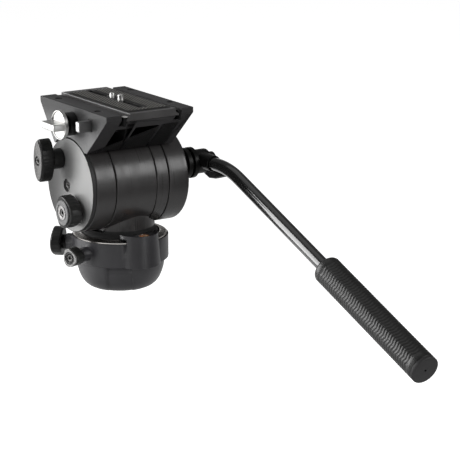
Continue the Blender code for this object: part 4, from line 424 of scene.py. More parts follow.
cone = [
    (RING_INNER + 0.0012 + (RING_RADIUS - RING_INNER - 0.0018) * row / HATCH_ROWS,
     RING_TOP - 0.0002 - (RING_TOP - RING_FOOT - 0.0017) * row / HATCH_ROWS) for row in range(HATCH_ROWS + 1)]
upper_edge = [
    (RING_INNER, RING_TOP - 0.0003), (RING_INNER + 0.0004, RING_TOP), (RING_INNER + 0.0010, RING_TOP)]
outer_edge = [
    (RING_RADIUS - 0.0003, RING_FOOT + 0.0013), (RING_RADIUS, RING_FOOT + 0.0010), (RING_RADIUS, RING_FOOT)]
spigot = [
    (RING_SPIGOT, RING_FOOT), (RING_SPIGOT, RING_LOW.z), (RING_INNER, RING_LOW.z),
    (RING_INNER, RING_TOP - 0.0003)]
ring = turned(
    "scale_ring", (0, 0, 0), (0, 0, 1), upper_edge + cone + outer_edge + spigot,
    HATCH_COUNT * 4, closed=False)


def hatch(point):
    """The slanting V-grooves in the ring's cone."""
    radius = math.hypot(point.x, point.y)
    down = (radius - cone[0][0]) / (cone[-1][0] - cone[0][0])
    on_cone = 0.05 < down < 0.95 and point.z > RING_FOOT + 0.0006
    if not on_cone:
        return point
    turn = math.atan2(point.y, point.x) / (2 * math.pi) * HATCH_COUNT + down * HATCH_SLANT
    wave = abs((turn % 1) - 0.5) * 2
    return Vector((point.x, point.y, point.z - HATCH_DEPTH * (1 - wave)))


reshape(ring, hatch)
ring_silver = Finish("ring_silver")
ring_lines = ring_silver.cloud(ring_silver.place(scale=(0.2, 0.2, 30)), 300, 2)
ring_patches = ring_silver.cloud(ring_silver.place(), 60, 3)
ring_silver.set(
    Base_Color=ring_silver.blend(ring_patches, (0.66, 0.63, 0.60), (0.86, 0.83, 0.80)), Metallic=1.0,
    Roughness=0.10 + ring_lines * 0.10 + ring_patches * 0.06, Normal=ring_silver.bump(ring_lines, 0.00001))
dress(rounded(ring, 0, 40), ring_silver, "scale_ring", "silver", "pan_scale_ring")


# The four knobs are moulded black plastic with flats round the grip: three have soft lobes, and the tilt lock
# is a bar. Three carry a turned grey plate on the end, and the socket screw that holds each is its stem.

LOBES = 3
LOBE_SHARE = 0.16
WAIST_SHARE = 0.43
KNOB_FACETS = 20
FACE_FALL = 0.0007
STEM_RADIUS = 0.0030
STEM_HOLE_RADIUS = STEM_RADIUS + 0.0003
SCREW_HEAD_RADIUS = 0.0037
SCREW_HOLE_RADIUS = SCREW_HEAD_RADIUS + 0.0003
SOCKET_RADIUS = 0.0019

knob_black = Finish("knob_black")
knob_grain = knob_black.cloud(knob_black.place(), 2200, 2)
knob_patches = knob_black.cloud(knob_black.place(), 70, 3)
knob_black.set(
    Base_Color=knob_black.blend(knob_patches.over(0.3, 0.7), grey(0.008), (0.016, 0.016, 0.015)),
    Roughness=0.34 + (knob_patches - 0.5) * 0.14, Normal=knob_black.bump(knob_grain, 0.00002),
    Specular_IOR_Level=0.26)


def plate_grey(name, centre, axis, light, dark, gloss, metal, painted, paint=grey(0.02)):
    """Turned and anodised grey, with fine lathe rings round a centre, and paint between two radii."""
    finish = Finish(name)
    away = finish.node("ShaderNodeVectorMath", {"operation": "SUBTRACT"}, {0: finish.place(), 1: centre})
    away = finish.node("ShaderNodeVectorMath", {"operation": "CROSS_PRODUCT"}, {0: away, 1: axis})
    radius = finish.node("ShaderNodeVectorMath", {"operation": "LENGTH"}, {0: away}, 1)
    line = finish.node("ShaderNodeCombineXYZ", {}, {0: radius, 1: 0.0, 2: 0.0})
    rings = finish.cloud(line, 2600, 2)
    patches = finish.cloud(finish.place(), 40, 3)
    inner, outer = painted
    in_paint = radius.over(inner - 0.0002, inner) * (1 - radius.over(outer, outer + 0.0002))
    finish.set(
        Base_Color=finish.blend(in_paint, finish.blend(rings * 0.5 + patches * 0.5, dark, light), paint),
        Metallic=metal * (1 - in_paint),
        Roughness=gloss + (rings - 0.5) * 0.10 + (patches - 0.5) * 0.08, Normal=finish.bump(rings, 0.000012))
    return finish


def bright_steel(name, light, dark, satin=0.0):
    """Plated or bright steel with slow stains and small scratches."""
    finish = Finish(name)
    stains = finish.cloud(finish.place(), 180, 4)
    scratches = finish.cloud(finish.place(turn=(0.3, 0.5, 0.2), scale=(1, 14, 14)), 500, 2)
    finish.set(
        Base_Color=finish.blend(stains, (dark, dark, dark * 0.98), (light, light * 0.99, light * 0.97)),
        Metallic=1.0, Roughness=0.22 + satin + stains * 0.14 + scratches * 0.06,
        Normal=finish.bump(scratches, 0.000012))
    return finish


screw_steel = bright_steel("screw_steel", 0.16, 0.07, 0.12)


def socket_screw(name, start, axis, head_length, shank_length,
                 head_radius=SCREW_HEAD_RADIUS, shank_radius=STEM_RADIUS, socket=SOCKET_RADIUS):
    """A socket screw: shank from the start, chamfered head at its end, and a six-sided recess in the head."""
    depth = min(0.0022, head_length * 0.7)
    top = shank_length + head_length
    screw = turned(
        name, (0, 0, 0), (0, 0, 1),
        [(shank_radius, 0), (shank_radius, shank_length), (head_radius, shank_length),
         (head_radius, top - 0.0004), (head_radius - 0.0004, top), (socket + 0.0003, top),
         (socket, top - 0.0003), (socket, top - depth), (socket * 0.2, top - depth - 0.0002)], 24)

    def six_sides(point):
        radius = math.hypot(point.x, point.y)
        if radius > socket + 0.00001 or point.z < shank_length or radius < socket * 0.5:
            return point
        angle = math.atan2(point.y, point.x) % (math.pi / 3)
        share = math.cos(math.pi / 6) / math.cos(angle - math.pi / 6)
        return Vector((point.x * share, point.y * share, point.z))

    return rounded(set_down(reshape(screw, six_sides), start, axis), 0)


def three_lobes(angle):
    """How far out an outline with three soft lobes reaches at an angle, as a share of its tips."""
    return 1 - LOBE_SHARE * (1 - math.cos(LOBES * angle)) / 2


def upright_bar(angle):
    """The same for a bar that stands upright and is widest at its middle."""
    return 1 / math.hypot(math.cos(angle) / WAIST_SHARE, math.sin(angle))


def knob_body(name, seat, axis, hub_radius, hub_length, radius, length, outline=three_lobes):
    """A knob's body from its seat outwards: round hub, grip with flats, chamfers, a hole for the screw."""
    end = hub_length + length
    body = turned(
        name, (0, 0, 0), (0, 0, 1),
        [(STEM_HOLE_RADIUS, 0), (hub_radius - 0.0005, 0), (hub_radius, 0.0005), (hub_radius, hub_length),
         (radius - 0.0016, hub_length), (radius - 0.0005, hub_length + 0.0005), (radius, hub_length + 0.0016),
         (radius, hub_length + length * 0.5), (radius, end - 0.0016), (radius - 0.0005, end - 0.0005),
         (radius - 0.0016, end), (SCREW_HOLE_RADIUS, end), (SCREW_HOLE_RADIUS, end - 0.0030),
         (STEM_HOLE_RADIUS, end - 0.0030), (STEM_HOLE_RADIUS, 0)],
        240, closed=False)

    def outline_and_flats(point):
        away = math.hypot(point.x, point.y)
        on_grip = away > radius - 0.0020 and point.z > hub_length - 0.00001
        if not on_grip:
            return point
        angle = math.atan2(point.y, point.x)
        half_flat = math.pi / KNOB_FACETS
        flat = math.cos(half_flat) / math.cos(angle % (2 * half_flat) - half_flat)
        new = away * outline(angle) * flat
        return Vector((point.x * new / away, point.y * new / away, point.z))

    return rounded(set_down(reshape(body, outline_and_flats), seat, axis), 0, 12)


def around(degrees, radius, height):
    """A point at an angle round the pan axis."""
    angle = math.radians(degrees)
    return Vector((radius * math.cos(angle), radius * math.sin(angle), height))


PAN_KNOB_HEIGHT = 0.0390
PAN_LOCK_ANGLE, PAN_DRAG_ANGLE = 137, 196
STEM_START = 0.0362

lock_out = around(PAN_LOCK_ANGLE, 1, 0)
lock_seat = around(PAN_LOCK_ANGLE, 0.0533, PAN_KNOB_HEIGHT)
dress(knob_body("pan_lock_knob", lock_seat, lock_out,
                hub_radius=0.0070, hub_length=0.0030, radius=0.0152, length=0.0105),
      knob_black, "pan_lock", "black_plastic", "pan_lock_body")
dress(socket_screw("pan_lock_stem", around(PAN_LOCK_ANGLE, STEM_START, PAN_KNOB_HEIGHT), lock_out,
                   head_length=0.0027, shank_length=0.0275),
      screw_steel, "pan_lock", "steel", "pan_lock_screw")

drag_out = around(PAN_DRAG_ANGLE, 1, 0)
drag_seat = around(PAN_DRAG_ANGLE, 0.0558, PAN_KNOB_HEIGHT)
dress(knob_body("pan_drag_knob", drag_seat, drag_out,
                hub_radius=0.0055, hub_length=0.0015, radius=0.0098, length=0.0105),
      knob_black, "pan_drag", "black_plastic", "pan_drag_body")
dress(socket_screw("pan_drag_stem", around(PAN_DRAG_ANGLE, STEM_START, PAN_KNOB_HEIGHT), drag_out,
                   head_length=0.0025, shank_length=0.0300),
      screw_steel, "pan_drag", "steel", "pan_drag_screw")


def end_plate(name, seat, axis, radius, groove, outline=None, thickness=0.0012):
    """A turned plate on a knob's end, with a groove between two radii and a hole for the screw."""
    hole = SCREW_HOLE_RADIUS
    inner, outer = groove
    plate = turned(
        name, (0, 0, 0), (0, 0, 1),
        [(hole, 0), (radius, 0), (radius, thickness - 0.0003), (radius - 0.0003, thickness),
         (outer, thickness), (outer - 0.0001, thickness - 0.0005), (inner + 0.0001, thickness - 0.0005),
         (inner, thickness), (hole + 0.0003, thickness), (hole, thickness - 0.0003), (hole, 0)],
        120, closed=False)

    def shaped(point):
        away = math.hypot(point.x, point.y)
        share = (away - hole) / (radius - hole)
        new = away * (1 - share * (1 - outline(math.atan2(point.y, point.x))))
        fall = FACE_FALL * share if outline == upright_bar and point.x < 0 and point.z > thickness / 2 else 0
        return Vector((point.x * new / away, point.y * new / away, point.z - fall))

    if outline:
        reshape(plate, shaped)
    return rounded(set_down(plate, seat, axis), 0, 30)


drag_face_grey = plate_grey(
    "drag_face_grey", tuple(drag_seat), tuple(drag_out), (0.30, 0.295, 0.29), grey(0.22), 0.36, 0.75,
    (0.0038, 0.0060))
dress(end_plate("pan_drag_plate", drag_seat + drag_out * 0.0123, drag_out, 0.0091, (0.0043, 0.0062),
                three_lobes),
      drag_face_grey, "pan_drag", "grey_face", "pan_drag_face")


# The pan body is one casting: the neck that stands in the collar and the middle of the barrel on it. The
# barrel is turned after casting, and its black anodising keeps the fine lathe lines round the tilt axis. The
# neck under it is matt, and darkened to near-black as painted shade under the barrel.

TILT_HEIGHT = 0.1045
SHADED_NECK_TO, TURNED_FROM = 0.0592, 0.0604


def turned_black(name, shade, gloss):
    """Black anodising over lathe lines that run round the tilt axis."""
    finish = Finish(name)
    lines = finish.cloud(finish.place(scale=(1, 0.012, 0.012)), 1700, 3)
    broad = finish.cloud(finish.place(scale=(1, 0.04, 0.04)), 260, 2)
    patches = finish.cloud(finish.place(), 24, 3)
    darker = tuple(value * 0.7 for value in shade)
    finish.set(
        Base_Color=finish.blend(lines * 0.5 + patches * 0.5, darker, shade),
        Roughness=gloss + (lines - 0.5) * 0.24 + (broad - 0.5) * 0.16 + (patches - 0.5) * 0.06,
        Normal=finish.bump(lines, 0.000016), Specular_IOR_Level=0.55)
    return finish


barrel_black = turned_black("barrel_black", (0.032, 0.030, 0.030), 0.33)
# Painted shade: below the turned barrel the neck is darkened to near-black, and made matt.
neck_height = barrel_black.parts(barrel_black.place())[2]
matt_neck_painted_shade = 1 - neck_height.over(SHADED_NECK_TO, TURNED_FROM)
barrel_black.set(
    Base_Color=barrel_black.blend(matt_neck_painted_shade, barrel_black.fed("Base Color"), grey(0.004)),
    Roughness=barrel_black.fed("Roughness") * (1 - matt_neck_painted_shade) + matt_neck_painted_shade * 0.75)
dress(smoothed("neck_and_barrel", "pan_housing", 0.0010),
      barrel_black, "pan", "black_casting", "pan_housing")
dress(smoothed("barrel_end_ring", "housing_end_ring", 0.0010),
      barrel_black, "pan", "black_casting", "housing_end_ring")


# The disc on the barrel's left end is turned and anodised a satin grey. It stays level while the camera
# tilts, carries the tilt lock above and the tilt drag below, and is held by one sunken socket screw.

DISC_LOW, DISC_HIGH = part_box("disc_plate")
disc_grey = plate_grey(
    "disc_grey", (DISC_LOW.x, 0, TILT_HEIGHT), (1, 0, 0), (0.34, 0.34, 0.335), grey(0.26), 0.42, 0.45,
    ((DISC_HIGH.y - DISC_LOW.y) / 2 - 0.0005, 1), grey(0.030))
# The grey is darkened toward the front as painted shade, and made less metallic and rougher there, as the
# photograph shows it.
disc_painted_shade = disc_grey.parts(disc_grey.place())[1].over(-0.024, 0.040) * 0.85
disc_grey.set(
    Base_Color=disc_grey.blend(disc_painted_shade, disc_grey.fed("Base Color"), grey(0.014)),
    Metallic=disc_grey.fed("Metallic") * (1 - disc_painted_shade),
    Roughness=disc_grey.fed("Roughness") + disc_painted_shade * 0.25, Specular_IOR_Level=0.2)
dress(smoothed("side_disc", "disc_plate", 0.0003), disc_grey, "pan", "grey_face", "disc_plate")

FIXING_LOW, FIXING_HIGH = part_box("disc_screw")
FIXING_MIDDLE = (FIXING_LOW + FIXING_HIGH) / 2
FIXING_HEAD = 0.0014
dark_steel = bright_steel("dark_steel", 0.12, 0.05)
dress(socket_screw("disc_fixing", (FIXING_HIGH.x, FIXING_MIDDLE.y, FIXING_MIDDLE.z), (-1, 0, 0),
                   head_length=FIXING_HEAD, shank_length=FIXING_HIGH.x - FIXING_LOW.x - FIXING_HEAD,
                   head_radius=0.0033, shank_radius=0.0018, socket=0.0016),
      dark_steel, "pan", "steel", "disc_screw")

TILT_LOCK = Vector((DISC_LOW.x, 0.0174, 0.1276))
TILT_DRAG = Vector((DISC_LOW.x, -0.0145, 0.0827))
LEFTWARDS = Vector((-1, 0, 0))
KNOB_GAP = 0.0003
STEM_DEPTH = 0.0072

lock_face_grey = plate_grey(
    "lock_face_grey", tuple(TILT_LOCK), (1, 0, 0), (0.17, 0.167, 0.163), (0.11, 0.108, 0.108), 0.34, 0.80,
    (0.0038, 0.0046))
drag_plate_grey = plate_grey(
    "drag_plate_grey", tuple(TILT_DRAG), (1, 0, 0), (0.56, 0.55, 0.54), (0.42, 0.41, 0.41), 0.28, 0.9,
    (0.0067, 1), grey(0.17))

dress(knob_body("tilt_lock_knob", TILT_LOCK + LEFTWARDS * KNOB_GAP, LEFTWARDS,
                hub_radius=0.0098, hub_length=0.0110, radius=0.0208, length=0.0123, outline=upright_bar),
      knob_black, "tilt_lock", "black_plastic", "tilt_lock_body")
dress(end_plate("tilt_lock_plate", TILT_LOCK + LEFTWARDS * 0.0239, LEFTWARDS, 0.0193, (0.0046, 0.0049),
                upright_bar),
      lock_face_grey, "tilt_lock", "grey_face", "tilt_lock_face")
dress(socket_screw("tilt_lock_stem", TILT_LOCK - LEFTWARDS * STEM_DEPTH, LEFTWARDS,
                   head_length=0.0036, shank_length=0.0279),
      screw_steel, "tilt_lock", "steel", "tilt_lock_screw")

dress(knob_body("tilt_drag_knob", TILT_DRAG + LEFTWARDS * KNOB_GAP, LEFTWARDS,
                hub_radius=0.0090, hub_length=0.0030, radius=0.0165, length=0.0125),
      knob_black, "tilt_drag", "black_plastic", "tilt_drag_body")
dress(end_plate("tilt_drag_plate_ring", TILT_DRAG + LEFTWARDS * 0.0161, LEFTWARDS, 0.0118, (0.0067, 0.0087)),
      drag_plate_grey, "tilt_drag", "grey_face", "tilt_drag_face")
dress(socket_screw("tilt_drag_stem", TILT_DRAG - LEFTWARDS * STEM_DEPTH, LEFTWARDS,
                   head_length=0.0034, shank_length=0.0203),
      screw_steel, "tilt_drag", "steel", "tilt_drag_screw")


# The barrel's two ends tilt with the camera: the arm next to the disc and the closed cap on the right,
# turned and anodised like the middle, with a thin dark gap between each two stretches.

dress(smoothed("barrel_left_end", "tilt_arm_left", 0.0010),
      barrel_black, "tilt", "black_casting", "tilt_arm_left")
dress(smoothed("barrel_right_end", "tilt_cap_right", 0.0010),
      barrel_black, "tilt", "black_casting", "tilt_cap_right")


# The platform is a casting screwed down across the barrel's ends. Its left side is milled a satin grey, its
# slanting ends have pockets, and four socket screws sit in its rails.

platform_black = blasted_black("platform_black", (0.022, 0.021, 0.022), 0.52)
platform_x, _, platform_z = platform_black.parts(platform_black.place())
PLATFORM_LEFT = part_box("platform_body")[0].x
side_grain = platform_black.cloud(platform_black.place(scale=(1, 1, 0.2)), 700, 3)
milled = 1 - platform_x.over(PLATFORM_LEFT + 0.0002, PLATFORM_LEFT + 0.0008)
# The milled side is darkened toward its top as painted shade, as the photograph shows it.
painted_shade_toward_top = platform_z.over(0.150, 0.176)
milled_grey = platform_black.blend(side_grain, (0.14, 0.14, 0.142), grey(0.20))
milled_grey = platform_black.blend(painted_shade_toward_top * 0.85, milled_grey, grey(0.02))
platform_black.set(
    Base_Color=platform_black.blend(milled, platform_black.fed("Base Color"), milled_grey),
    Metallic=milled * 0.25)
dress(smoothed("platform", "platform_body", 0.0007), platform_black, "tilt", "black_casting", "platform_body")

for rail_screw in ("left_front", "left_rear", "right_front", "right_rear"):
    rail_low, rail_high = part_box("rail_screw_" + rail_screw)
    rail_middle = (rail_low + rail_high) / 2
    dress(socket_screw("rail_fixing_" + rail_screw, (rail_middle.x, rail_middle.y, rail_low.z), (0, 0, 1),
                       head_length=0.0030, shank_length=0.0010, head_radius=0.0031, shank_radius=0.0020),
          dark_steel, "tilt", "steel", "rail_screw_" + rail_screw)


# The plate slides between a fixed jaw and a gib that the plate lock draws in: both are black anodised
# strips, with a painted highlight of bright bare metal along the top of the gib's rear end. The lock is a
# silver dish with a bar, on a black collar.

GIB_LOW, GIB_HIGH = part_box("jaw_gib")
jaw_black = Finish("jaw_black")
jaw_lines = jaw_black.cloud(jaw_black.place(scale=(1, 0.02, 1)), 1400, 2)
jaw_patches = jaw_black.cloud(jaw_black.place(), 60, 3)
jaw_x, jaw_y, jaw_z = jaw_black.parts(jaw_black.place())
# A painted highlight: bright bare metal along the top of the gib's rear end.
rear_end = 1 - jaw_y.over(GIB_LOW.y + 0.0025, GIB_LOW.y + 0.0060)
jaw_top = jaw_z.over(GIB_HIGH.z - 0.0012, GIB_HIGH.z - 0.0006)
painted_highlight_on_gib = rear_end * jaw_top * (1 - jaw_x.over(GIB_HIGH.x, GIB_HIGH.x + 0.001))
anodised = jaw_black.blend(jaw_patches, grey(0.003), grey(0.008))
jaw_black.set(
    Base_Color=jaw_black.blend(painted_highlight_on_gib, anodised, (0.62, 0.61, 0.60)), Metallic=painted_highlight_on_gib,
    Roughness=0.34 + jaw_lines * 0.14, Normal=jaw_black.bump(jaw_lines, 0.000010), Specular_IOR_Level=0.15)
dress(smoothed("fixed_jaw", "jaw_fixed", 0.0002), jaw_black, "tilt", "silver", "jaw_fixed")
dress(smoothed("sliding_gib", "jaw_gib", 0.0002), jaw_black, "gib", "silver", "jaw_gib")

lock_silver = bright_steel("lock_silver", 0.62, 0.46, 0.12)
dress(smoothed("lock_dish", "plate_lock_knob", 0.0004),
      lock_silver, "plate_lock", "silver", "plate_lock_knob")
dress(smoothed("lock_collar", "plate_lock_collar", 0.0004),
      knob_black, "plate_lock", "black_plastic", "plate_lock_collar")

BUTTON_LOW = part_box("release_button")[0]
button_grey = Finish("button_grey")
button_grain = button_grey.cloud(button_grey.place(), 1500, 2)
button_patches = button_grey.cloud(button_grey.place(), 120, 3)
button_x = button_grey.parts(button_grey.place())[0]
bare_end = 1 - button_x.over(BUTTON_LOW.x + 0.0004, BUTTON_LOW.x + 0.0008)
button_coat = button_grey.blend(button_patches, grey(0.07), grey(0.11))
button_grey.set(
    Base_Color=button_grey.blend(bare_end, button_coat, grey(0.50)), Metallic=0.3 + bare_end * 0.4,
    Roughness=0.34 + button_patches * 0.1, Normal=button_grey.bump(button_grain, 0.00002))
dress(smoothed("safety_button", "release_button", 0.0005),
      button_grey, "release_button", "grey_face", "release_button")


# The camera plate is an extruded, black anodised plate with sloping flanges. A rubber pad with a field of
# small raised squares, set cornerwise, is let into its top, and two spear-shaped slots cut through both.

PLATE_LOW, PLATE_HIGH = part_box("camera_plate")
PAD_LOW, PAD_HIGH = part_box("plate_pad")
PAD_SIZE = PAD_HIGH - PAD_LOW
PAD_MIDDLE = (PAD_HIGH + PAD_LOW) / 2
PAD_SINK = 0.0006
STUD_PITCH = 0.0028
STUD_ROWS = int((PAD_SIZE.x + PAD_SIZE.y) / math.sqrt(2) / STUD_PITCH) + 1
STUD_ROOT = 0.0001
STUD_INSET = 0.00062
STUD_MARGIN = 0.0017
STUD_CLEARANCE = 0.0010
SLOT_HALF_WIDTH = 0.0035
CLEAR_OF_SLOTS = ((0.0120, 0.0505), (-0.0545, -0.0160))
SCREW_CLEARANCE = 0.0050
CLEAR_OF_SCREW = (-0.0175, 0.0080)

plate_black = blasted_black("plate_black", (0.058, 0.056, 0.056), 0.42)
plate_x, plate_y, plate_z = plate_black.parts(plate_black.place())
# A painted highlight: a bright bare-metal strip along the top of the plate's left edge.
left_edge = 1 - plate_x.over(PLATE_LOW.x + 0.0040, PLATE_LOW.x + 0.0044)
painted_edge_highlight = plate_z.over(PLATE_HIGH.z - 0.0009, PLATE_HIGH.z - 0.0006) * left_edge
# Painted shade: a strip down the plate's middle, as wide as the slots, is near-black between the ends.
from_middle = plate_x - (PLATE_LOW.x + PLATE_HIGH.x) / 2
off_middle = from_middle.reckon("ABSOLUTE", from_middle)
between_ends = plate_y.over(-0.0570, -0.0560) * (1 - plate_y.over(0.0515, 0.0525))
painted_shade_in_slots = (1 - off_middle.over(0.0044, 0.0048)) * between_ends
slotted_with_painted_shade = plate_black.blend(painted_shade_in_slots, plate_black.fed("Base Color"), grey(0.003))
plate_black.set(Base_Color=plate_black.blend(painted_edge_highlight, slotted_with_painted_shade, grey(0.22)), Metallic=painted_edge_highlight)
dress(smoothed("sliding_plate", "camera_plate", 0.0004),
      plate_black, "camera_plate", "black_casting", "camera_plate")

pad_rubber = Finish("pad_rubber")
pad_speck = pad_rubber.cloud(pad_rubber.place(), 900, 3)
pad_dust = pad_rubber.cloud(pad_rubber.place(), 45, 3)
on_stud = pad_rubber.parts(pad_rubber.place())[2].over(PAD_HIGH.z - 0.00020, PAD_HIGH.z - 0.00008)
clean_rubber = pad_rubber.blend(pad_speck, grey(0.004), (0.012, 0.012, 0.011))
dusty_rubber = pad_rubber.blend(pad_dust * 0.6 + pad_speck * 0.4, (0.11, 0.107, 0.10), (0.22, 0.215, 0.20))
pad_rubber.set(
    Base_Color=pad_rubber.blend(on_stud, clean_rubber, dusty_rubber),
    Roughness=0.66 + (pad_dust - 0.5) * 0.2, Normal=pad_rubber.bump(pad_speck, 0.00004))

pad = smoothed("pad", "plate_pad", 0)
reshape(pad, lambda point: Vector((point.x, point.y, min(point.z, PAD_HIGH.z - PAD_SINK))))
dress(pad, pad_rubber, "camera_plate", "black_rubber", "plate_pad")

bpy.ops.object.select_all(action="DESELECT")
bpy.ops.mesh.primitive_grid_add(
    x_subdivisions=STUD_ROWS, y_subdivisions=STUD_ROWS, size=STUD_ROWS * STUD_PITCH,
    location=(PAD_MIDDLE.x, PAD_MIDDLE.y, PAD_HIGH.z - PAD_SINK - STUD_ROOT),
    rotation=(0, 0, math.radians(45)))
studs = bpy.context.object
studs.name = "pad_studs"
bpy.ops.object.transform_apply(location=True, rotation=True, scale=True)
bpy.ops.object.mode_set(mode="EDIT")
bpy.ops.mesh.select_mode(type="FACE")
bpy.ops.mesh.select_all(action="DESELECT")
bpy.ops.object.mode_set(mode="OBJECT")
for face in studs.data.polygons:
    across = abs(face.center.x - PAD_MIDDLE.x)
    along = abs(face.center.y - PAD_MIDDLE.y)
    outside = across > PAD_SIZE.x / 2 - STUD_MARGIN or along > PAD_SIZE.y / 2 - STUD_MARGIN
    in_slot = across < SLOT_HALF_WIDTH + STUD_CLEARANCE and any(
        low < face.center.y < high for low, high in CLEAR_OF_SLOTS)
    by_screw = across < SCREW_CLEARANCE and CLEAR_OF_SCREW[0] < face.center.y < CLEAR_OF_SCREW[1]
    face.select = outside or in_slot or by_screw
bpy.ops.object.mode_set(mode="EDIT")
bpy.ops.mesh.delete(type="FACE")
bpy.ops.mesh.select_all(action="SELECT")
bpy.ops.mesh.inset(thickness=STUD_INSET, use_individual=True)
bpy.ops.mesh.select_all(action="INVERT")
bpy.ops.mesh.delete(type="FACE")
bpy.ops.mesh.select_all(action="SELECT")
bpy.ops.mesh.extrude_region_move(TRANSFORM_OT_translate={"value": (0, 0, PAD_SINK + STUD_ROOT)})
bpy.ops.mesh.select_all(action="SELECT")
bpy.ops.mesh.normals_make_consistent(inside=False)
bpy.ops.object.mode_set(mode="OBJECT")
dress(studs, pad_rubber, "camera_plate", "black_rubber")


# The camera screw is a bright quarter-inch screw with a real thread, and the sprung pin ahead of it is
# plain, with a rounded end.

THREAD_PITCH = 0.00127
SCREW_LOW, SCREW_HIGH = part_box("camera_screw")
screw_middle = (SCREW_LOW + SCREW_HIGH) / 2
THREAD_RADIUS = 0.003175
THREAD_TOP = SCREW_HIGH.z - 0.0008
THREAD_ROWS = 44
THREAD_DEPTH_SHARE = 0.16
HEAD_RADIUS = 0.0070
HEAD_TOP = SCREW_LOW.z + 0.0026
thread_rows = [
    (THREAD_RADIUS, HEAD_TOP + (THREAD_TOP - HEAD_TOP) * row / THREAD_ROWS) for row in range(THREAD_ROWS + 1)]
camera_screw = turned(
    "mounting_screw", (0, 0, 0), (0, 0, 1),
    [(HEAD_RADIUS, SCREW_LOW.z), (HEAD_RADIUS, HEAD_TOP)] + thread_rows
    + [(THREAD_RADIUS - 0.0005, SCREW_HIGH.z - 0.0003), (THREAD_RADIUS - 0.0009, SCREW_HIGH.z),
       (0.0004, SCREW_HIGH.z)], 40)


def thread(point):
    """The screw's thread, as V-grooves that climb round it."""
    away = math.hypot(point.x, point.y)
    if abs(away - THREAD_RADIUS) > 0.00002 or point.z <= HEAD_TOP + 0.0001:
        return point
    turn = point.z / THREAD_PITCH - math.atan2(point.y, point.x) / (2 * math.pi)
    share = 1 - THREAD_DEPTH_SHARE * abs((turn % 1) - 0.5) * 2
    return Vector((point.x * share, point.y * share, point.z))


reshape(camera_screw, thread)
set_down(camera_screw, (screw_middle.x, screw_middle.y, 0), (0, 0, 1))
dress(rounded(camera_screw, 0, 50),
      bright_steel("thread_steel", 0.78, 0.60), "camera_screw", "silver", "camera_screw")

PIN_LOW, PIN_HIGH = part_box("locating_pin")
PIN_LENGTH = PIN_HIGH.z - PIN_LOW.z
PIN_RADIUS = 0.0024
PIN_SHOULDER = 0.0042
pin_middle = (PIN_LOW + PIN_HIGH) / 2
pin = turned(
    "sprung_pin", (pin_middle.x, pin_middle.y, PIN_LOW.z), (0, 0, 1),
    [(PIN_SHOULDER, 0), (PIN_SHOULDER, 0.0012), (PIN_RADIUS, 0.0012), (PIN_RADIUS, PIN_LENGTH - 0.0009),
     (PIN_RADIUS - 0.0003, PIN_LENGTH - 0.0003), (PIN_RADIUS - 0.0009, PIN_LENGTH), (0.0003, PIN_LENGTH)], 48)
dress(rounded(pin, 0, 50), bright_steel("pin_steel", 0.74, 0.56), "locating_pin", "silver", "locating_pin")


# The handle's joint: two toothed rosettes, the clamp casting round the tube's end, the bolt through all
# of them, and the black lever that tightens it.

joint_black = blasted_black("joint_black", grey(0.006), 0.36, 0.15)
dress(smoothed("fixed_teeth", "fixed_rosette", 0.0002),
      joint_black, "tilt", "black_casting", "fixed_rosette")
dress(smoothed("handle_teeth", "handle_rosette", 0.0002),
      joint_black, "handle", "black_casting", "handle_rosette")
dress(smoothed("clamp", "handle_clamp", 0.0008), joint_black, "handle", "black_casting", "handle_clamp")
dress(smoothed("lever", "handle_lever", 0.0006), knob_black, "lever", "black_plastic", "handle_lever")


# The handle is one bent steel tube with a hard gloss black coat, straight out of the clamp, then dropping
# to the grip.

TUBE_RADIUS = 0.0063
TUBE_X = 0.0714
TUBE_TOP_HEIGHT = 0.1205
TUBE_DROP = math.radians(21.1)
TUBE_START = -0.0372
CORNER_Y = -0.0835
TUBE_CORNER = Vector((TUBE_X, CORNER_Y, TUBE_TOP_HEIGHT))
TUBE_WAY = Vector((0, -math.cos(TUBE_DROP), -math.sin(TUBE_DROP)))
BEND_RADIUS = 0.0950
BEND_REACH = BEND_RADIUS * math.tan(TUBE_DROP / 2)
BEND_FROM = TUBE_START - (CORNER_Y + BEND_REACH)
BEND_LENGTH = BEND_RADIUS * TUBE_DROP
BEND_ROWS = 28
GRIP_START = 0.1670
GRIP_LENGTH = 0.1500
TUBE_LENGTH = BEND_FROM + BEND_LENGTH + GRIP_START + GRIP_LENGTH - BEND_REACH


def along_the_handle(point):
    """Bend a straight tube along +Z into the handle's line."""
    turn = min(max((point.z - BEND_FROM) / BEND_RADIUS, 0), TUBE_DROP)
    straight = min(point.z, BEND_FROM) + max(point.z - BEND_FROM - BEND_LENGTH, 0) * math.cos(turn)
    fall = max(point.z - BEND_FROM - BEND_LENGTH, 0) * math.sin(turn)
    back = straight + BEND_RADIUS * math.sin(turn) + point.y * math.sin(turn)
    down = fall + BEND_RADIUS * (1 - math.cos(turn)) - point.y * math.cos(turn)
    return Vector((TUBE_X + point.x, TUBE_START - back, TUBE_TOP_HEIGHT - down))


bend_rows = [(TUBE_RADIUS, BEND_FROM + BEND_LENGTH * row / BEND_ROWS) for row in range(BEND_ROWS + 1)]
tube = turned(
    "tube", (0, 0, 0), (0, 0, 1), [(TUBE_RADIUS, 0)] + bend_rows + [(TUBE_RADIUS, TUBE_LENGTH)], 64)
reshape(tube, along_the_handle)

tube_gloss = Finish("tube_gloss")
tube_peel = tube_gloss.cloud(tube_gloss.place(), 420, 2)
tube_patches = tube_gloss.cloud(tube_gloss.place(), 30, 3)
tube_gloss.set(
    Base_Color=tube_gloss.blend(tube_patches, grey(0.010), grey(0.018)),
    Roughness=0.15 + tube_patches * 0.08, Coat_Weight=0.6, Coat_Roughness=0.06,
    Normal=tube_gloss.bump(tube_peel, 0.000006))
dress(rounded(tube, 0, 40), tube_gloss, "handle", "gloss_black", "handle_tube")


# The grip is a black rubber sleeve with fine wavy ribs round it and a plain band at each end, closed by a
# moulded cap with a small hole.

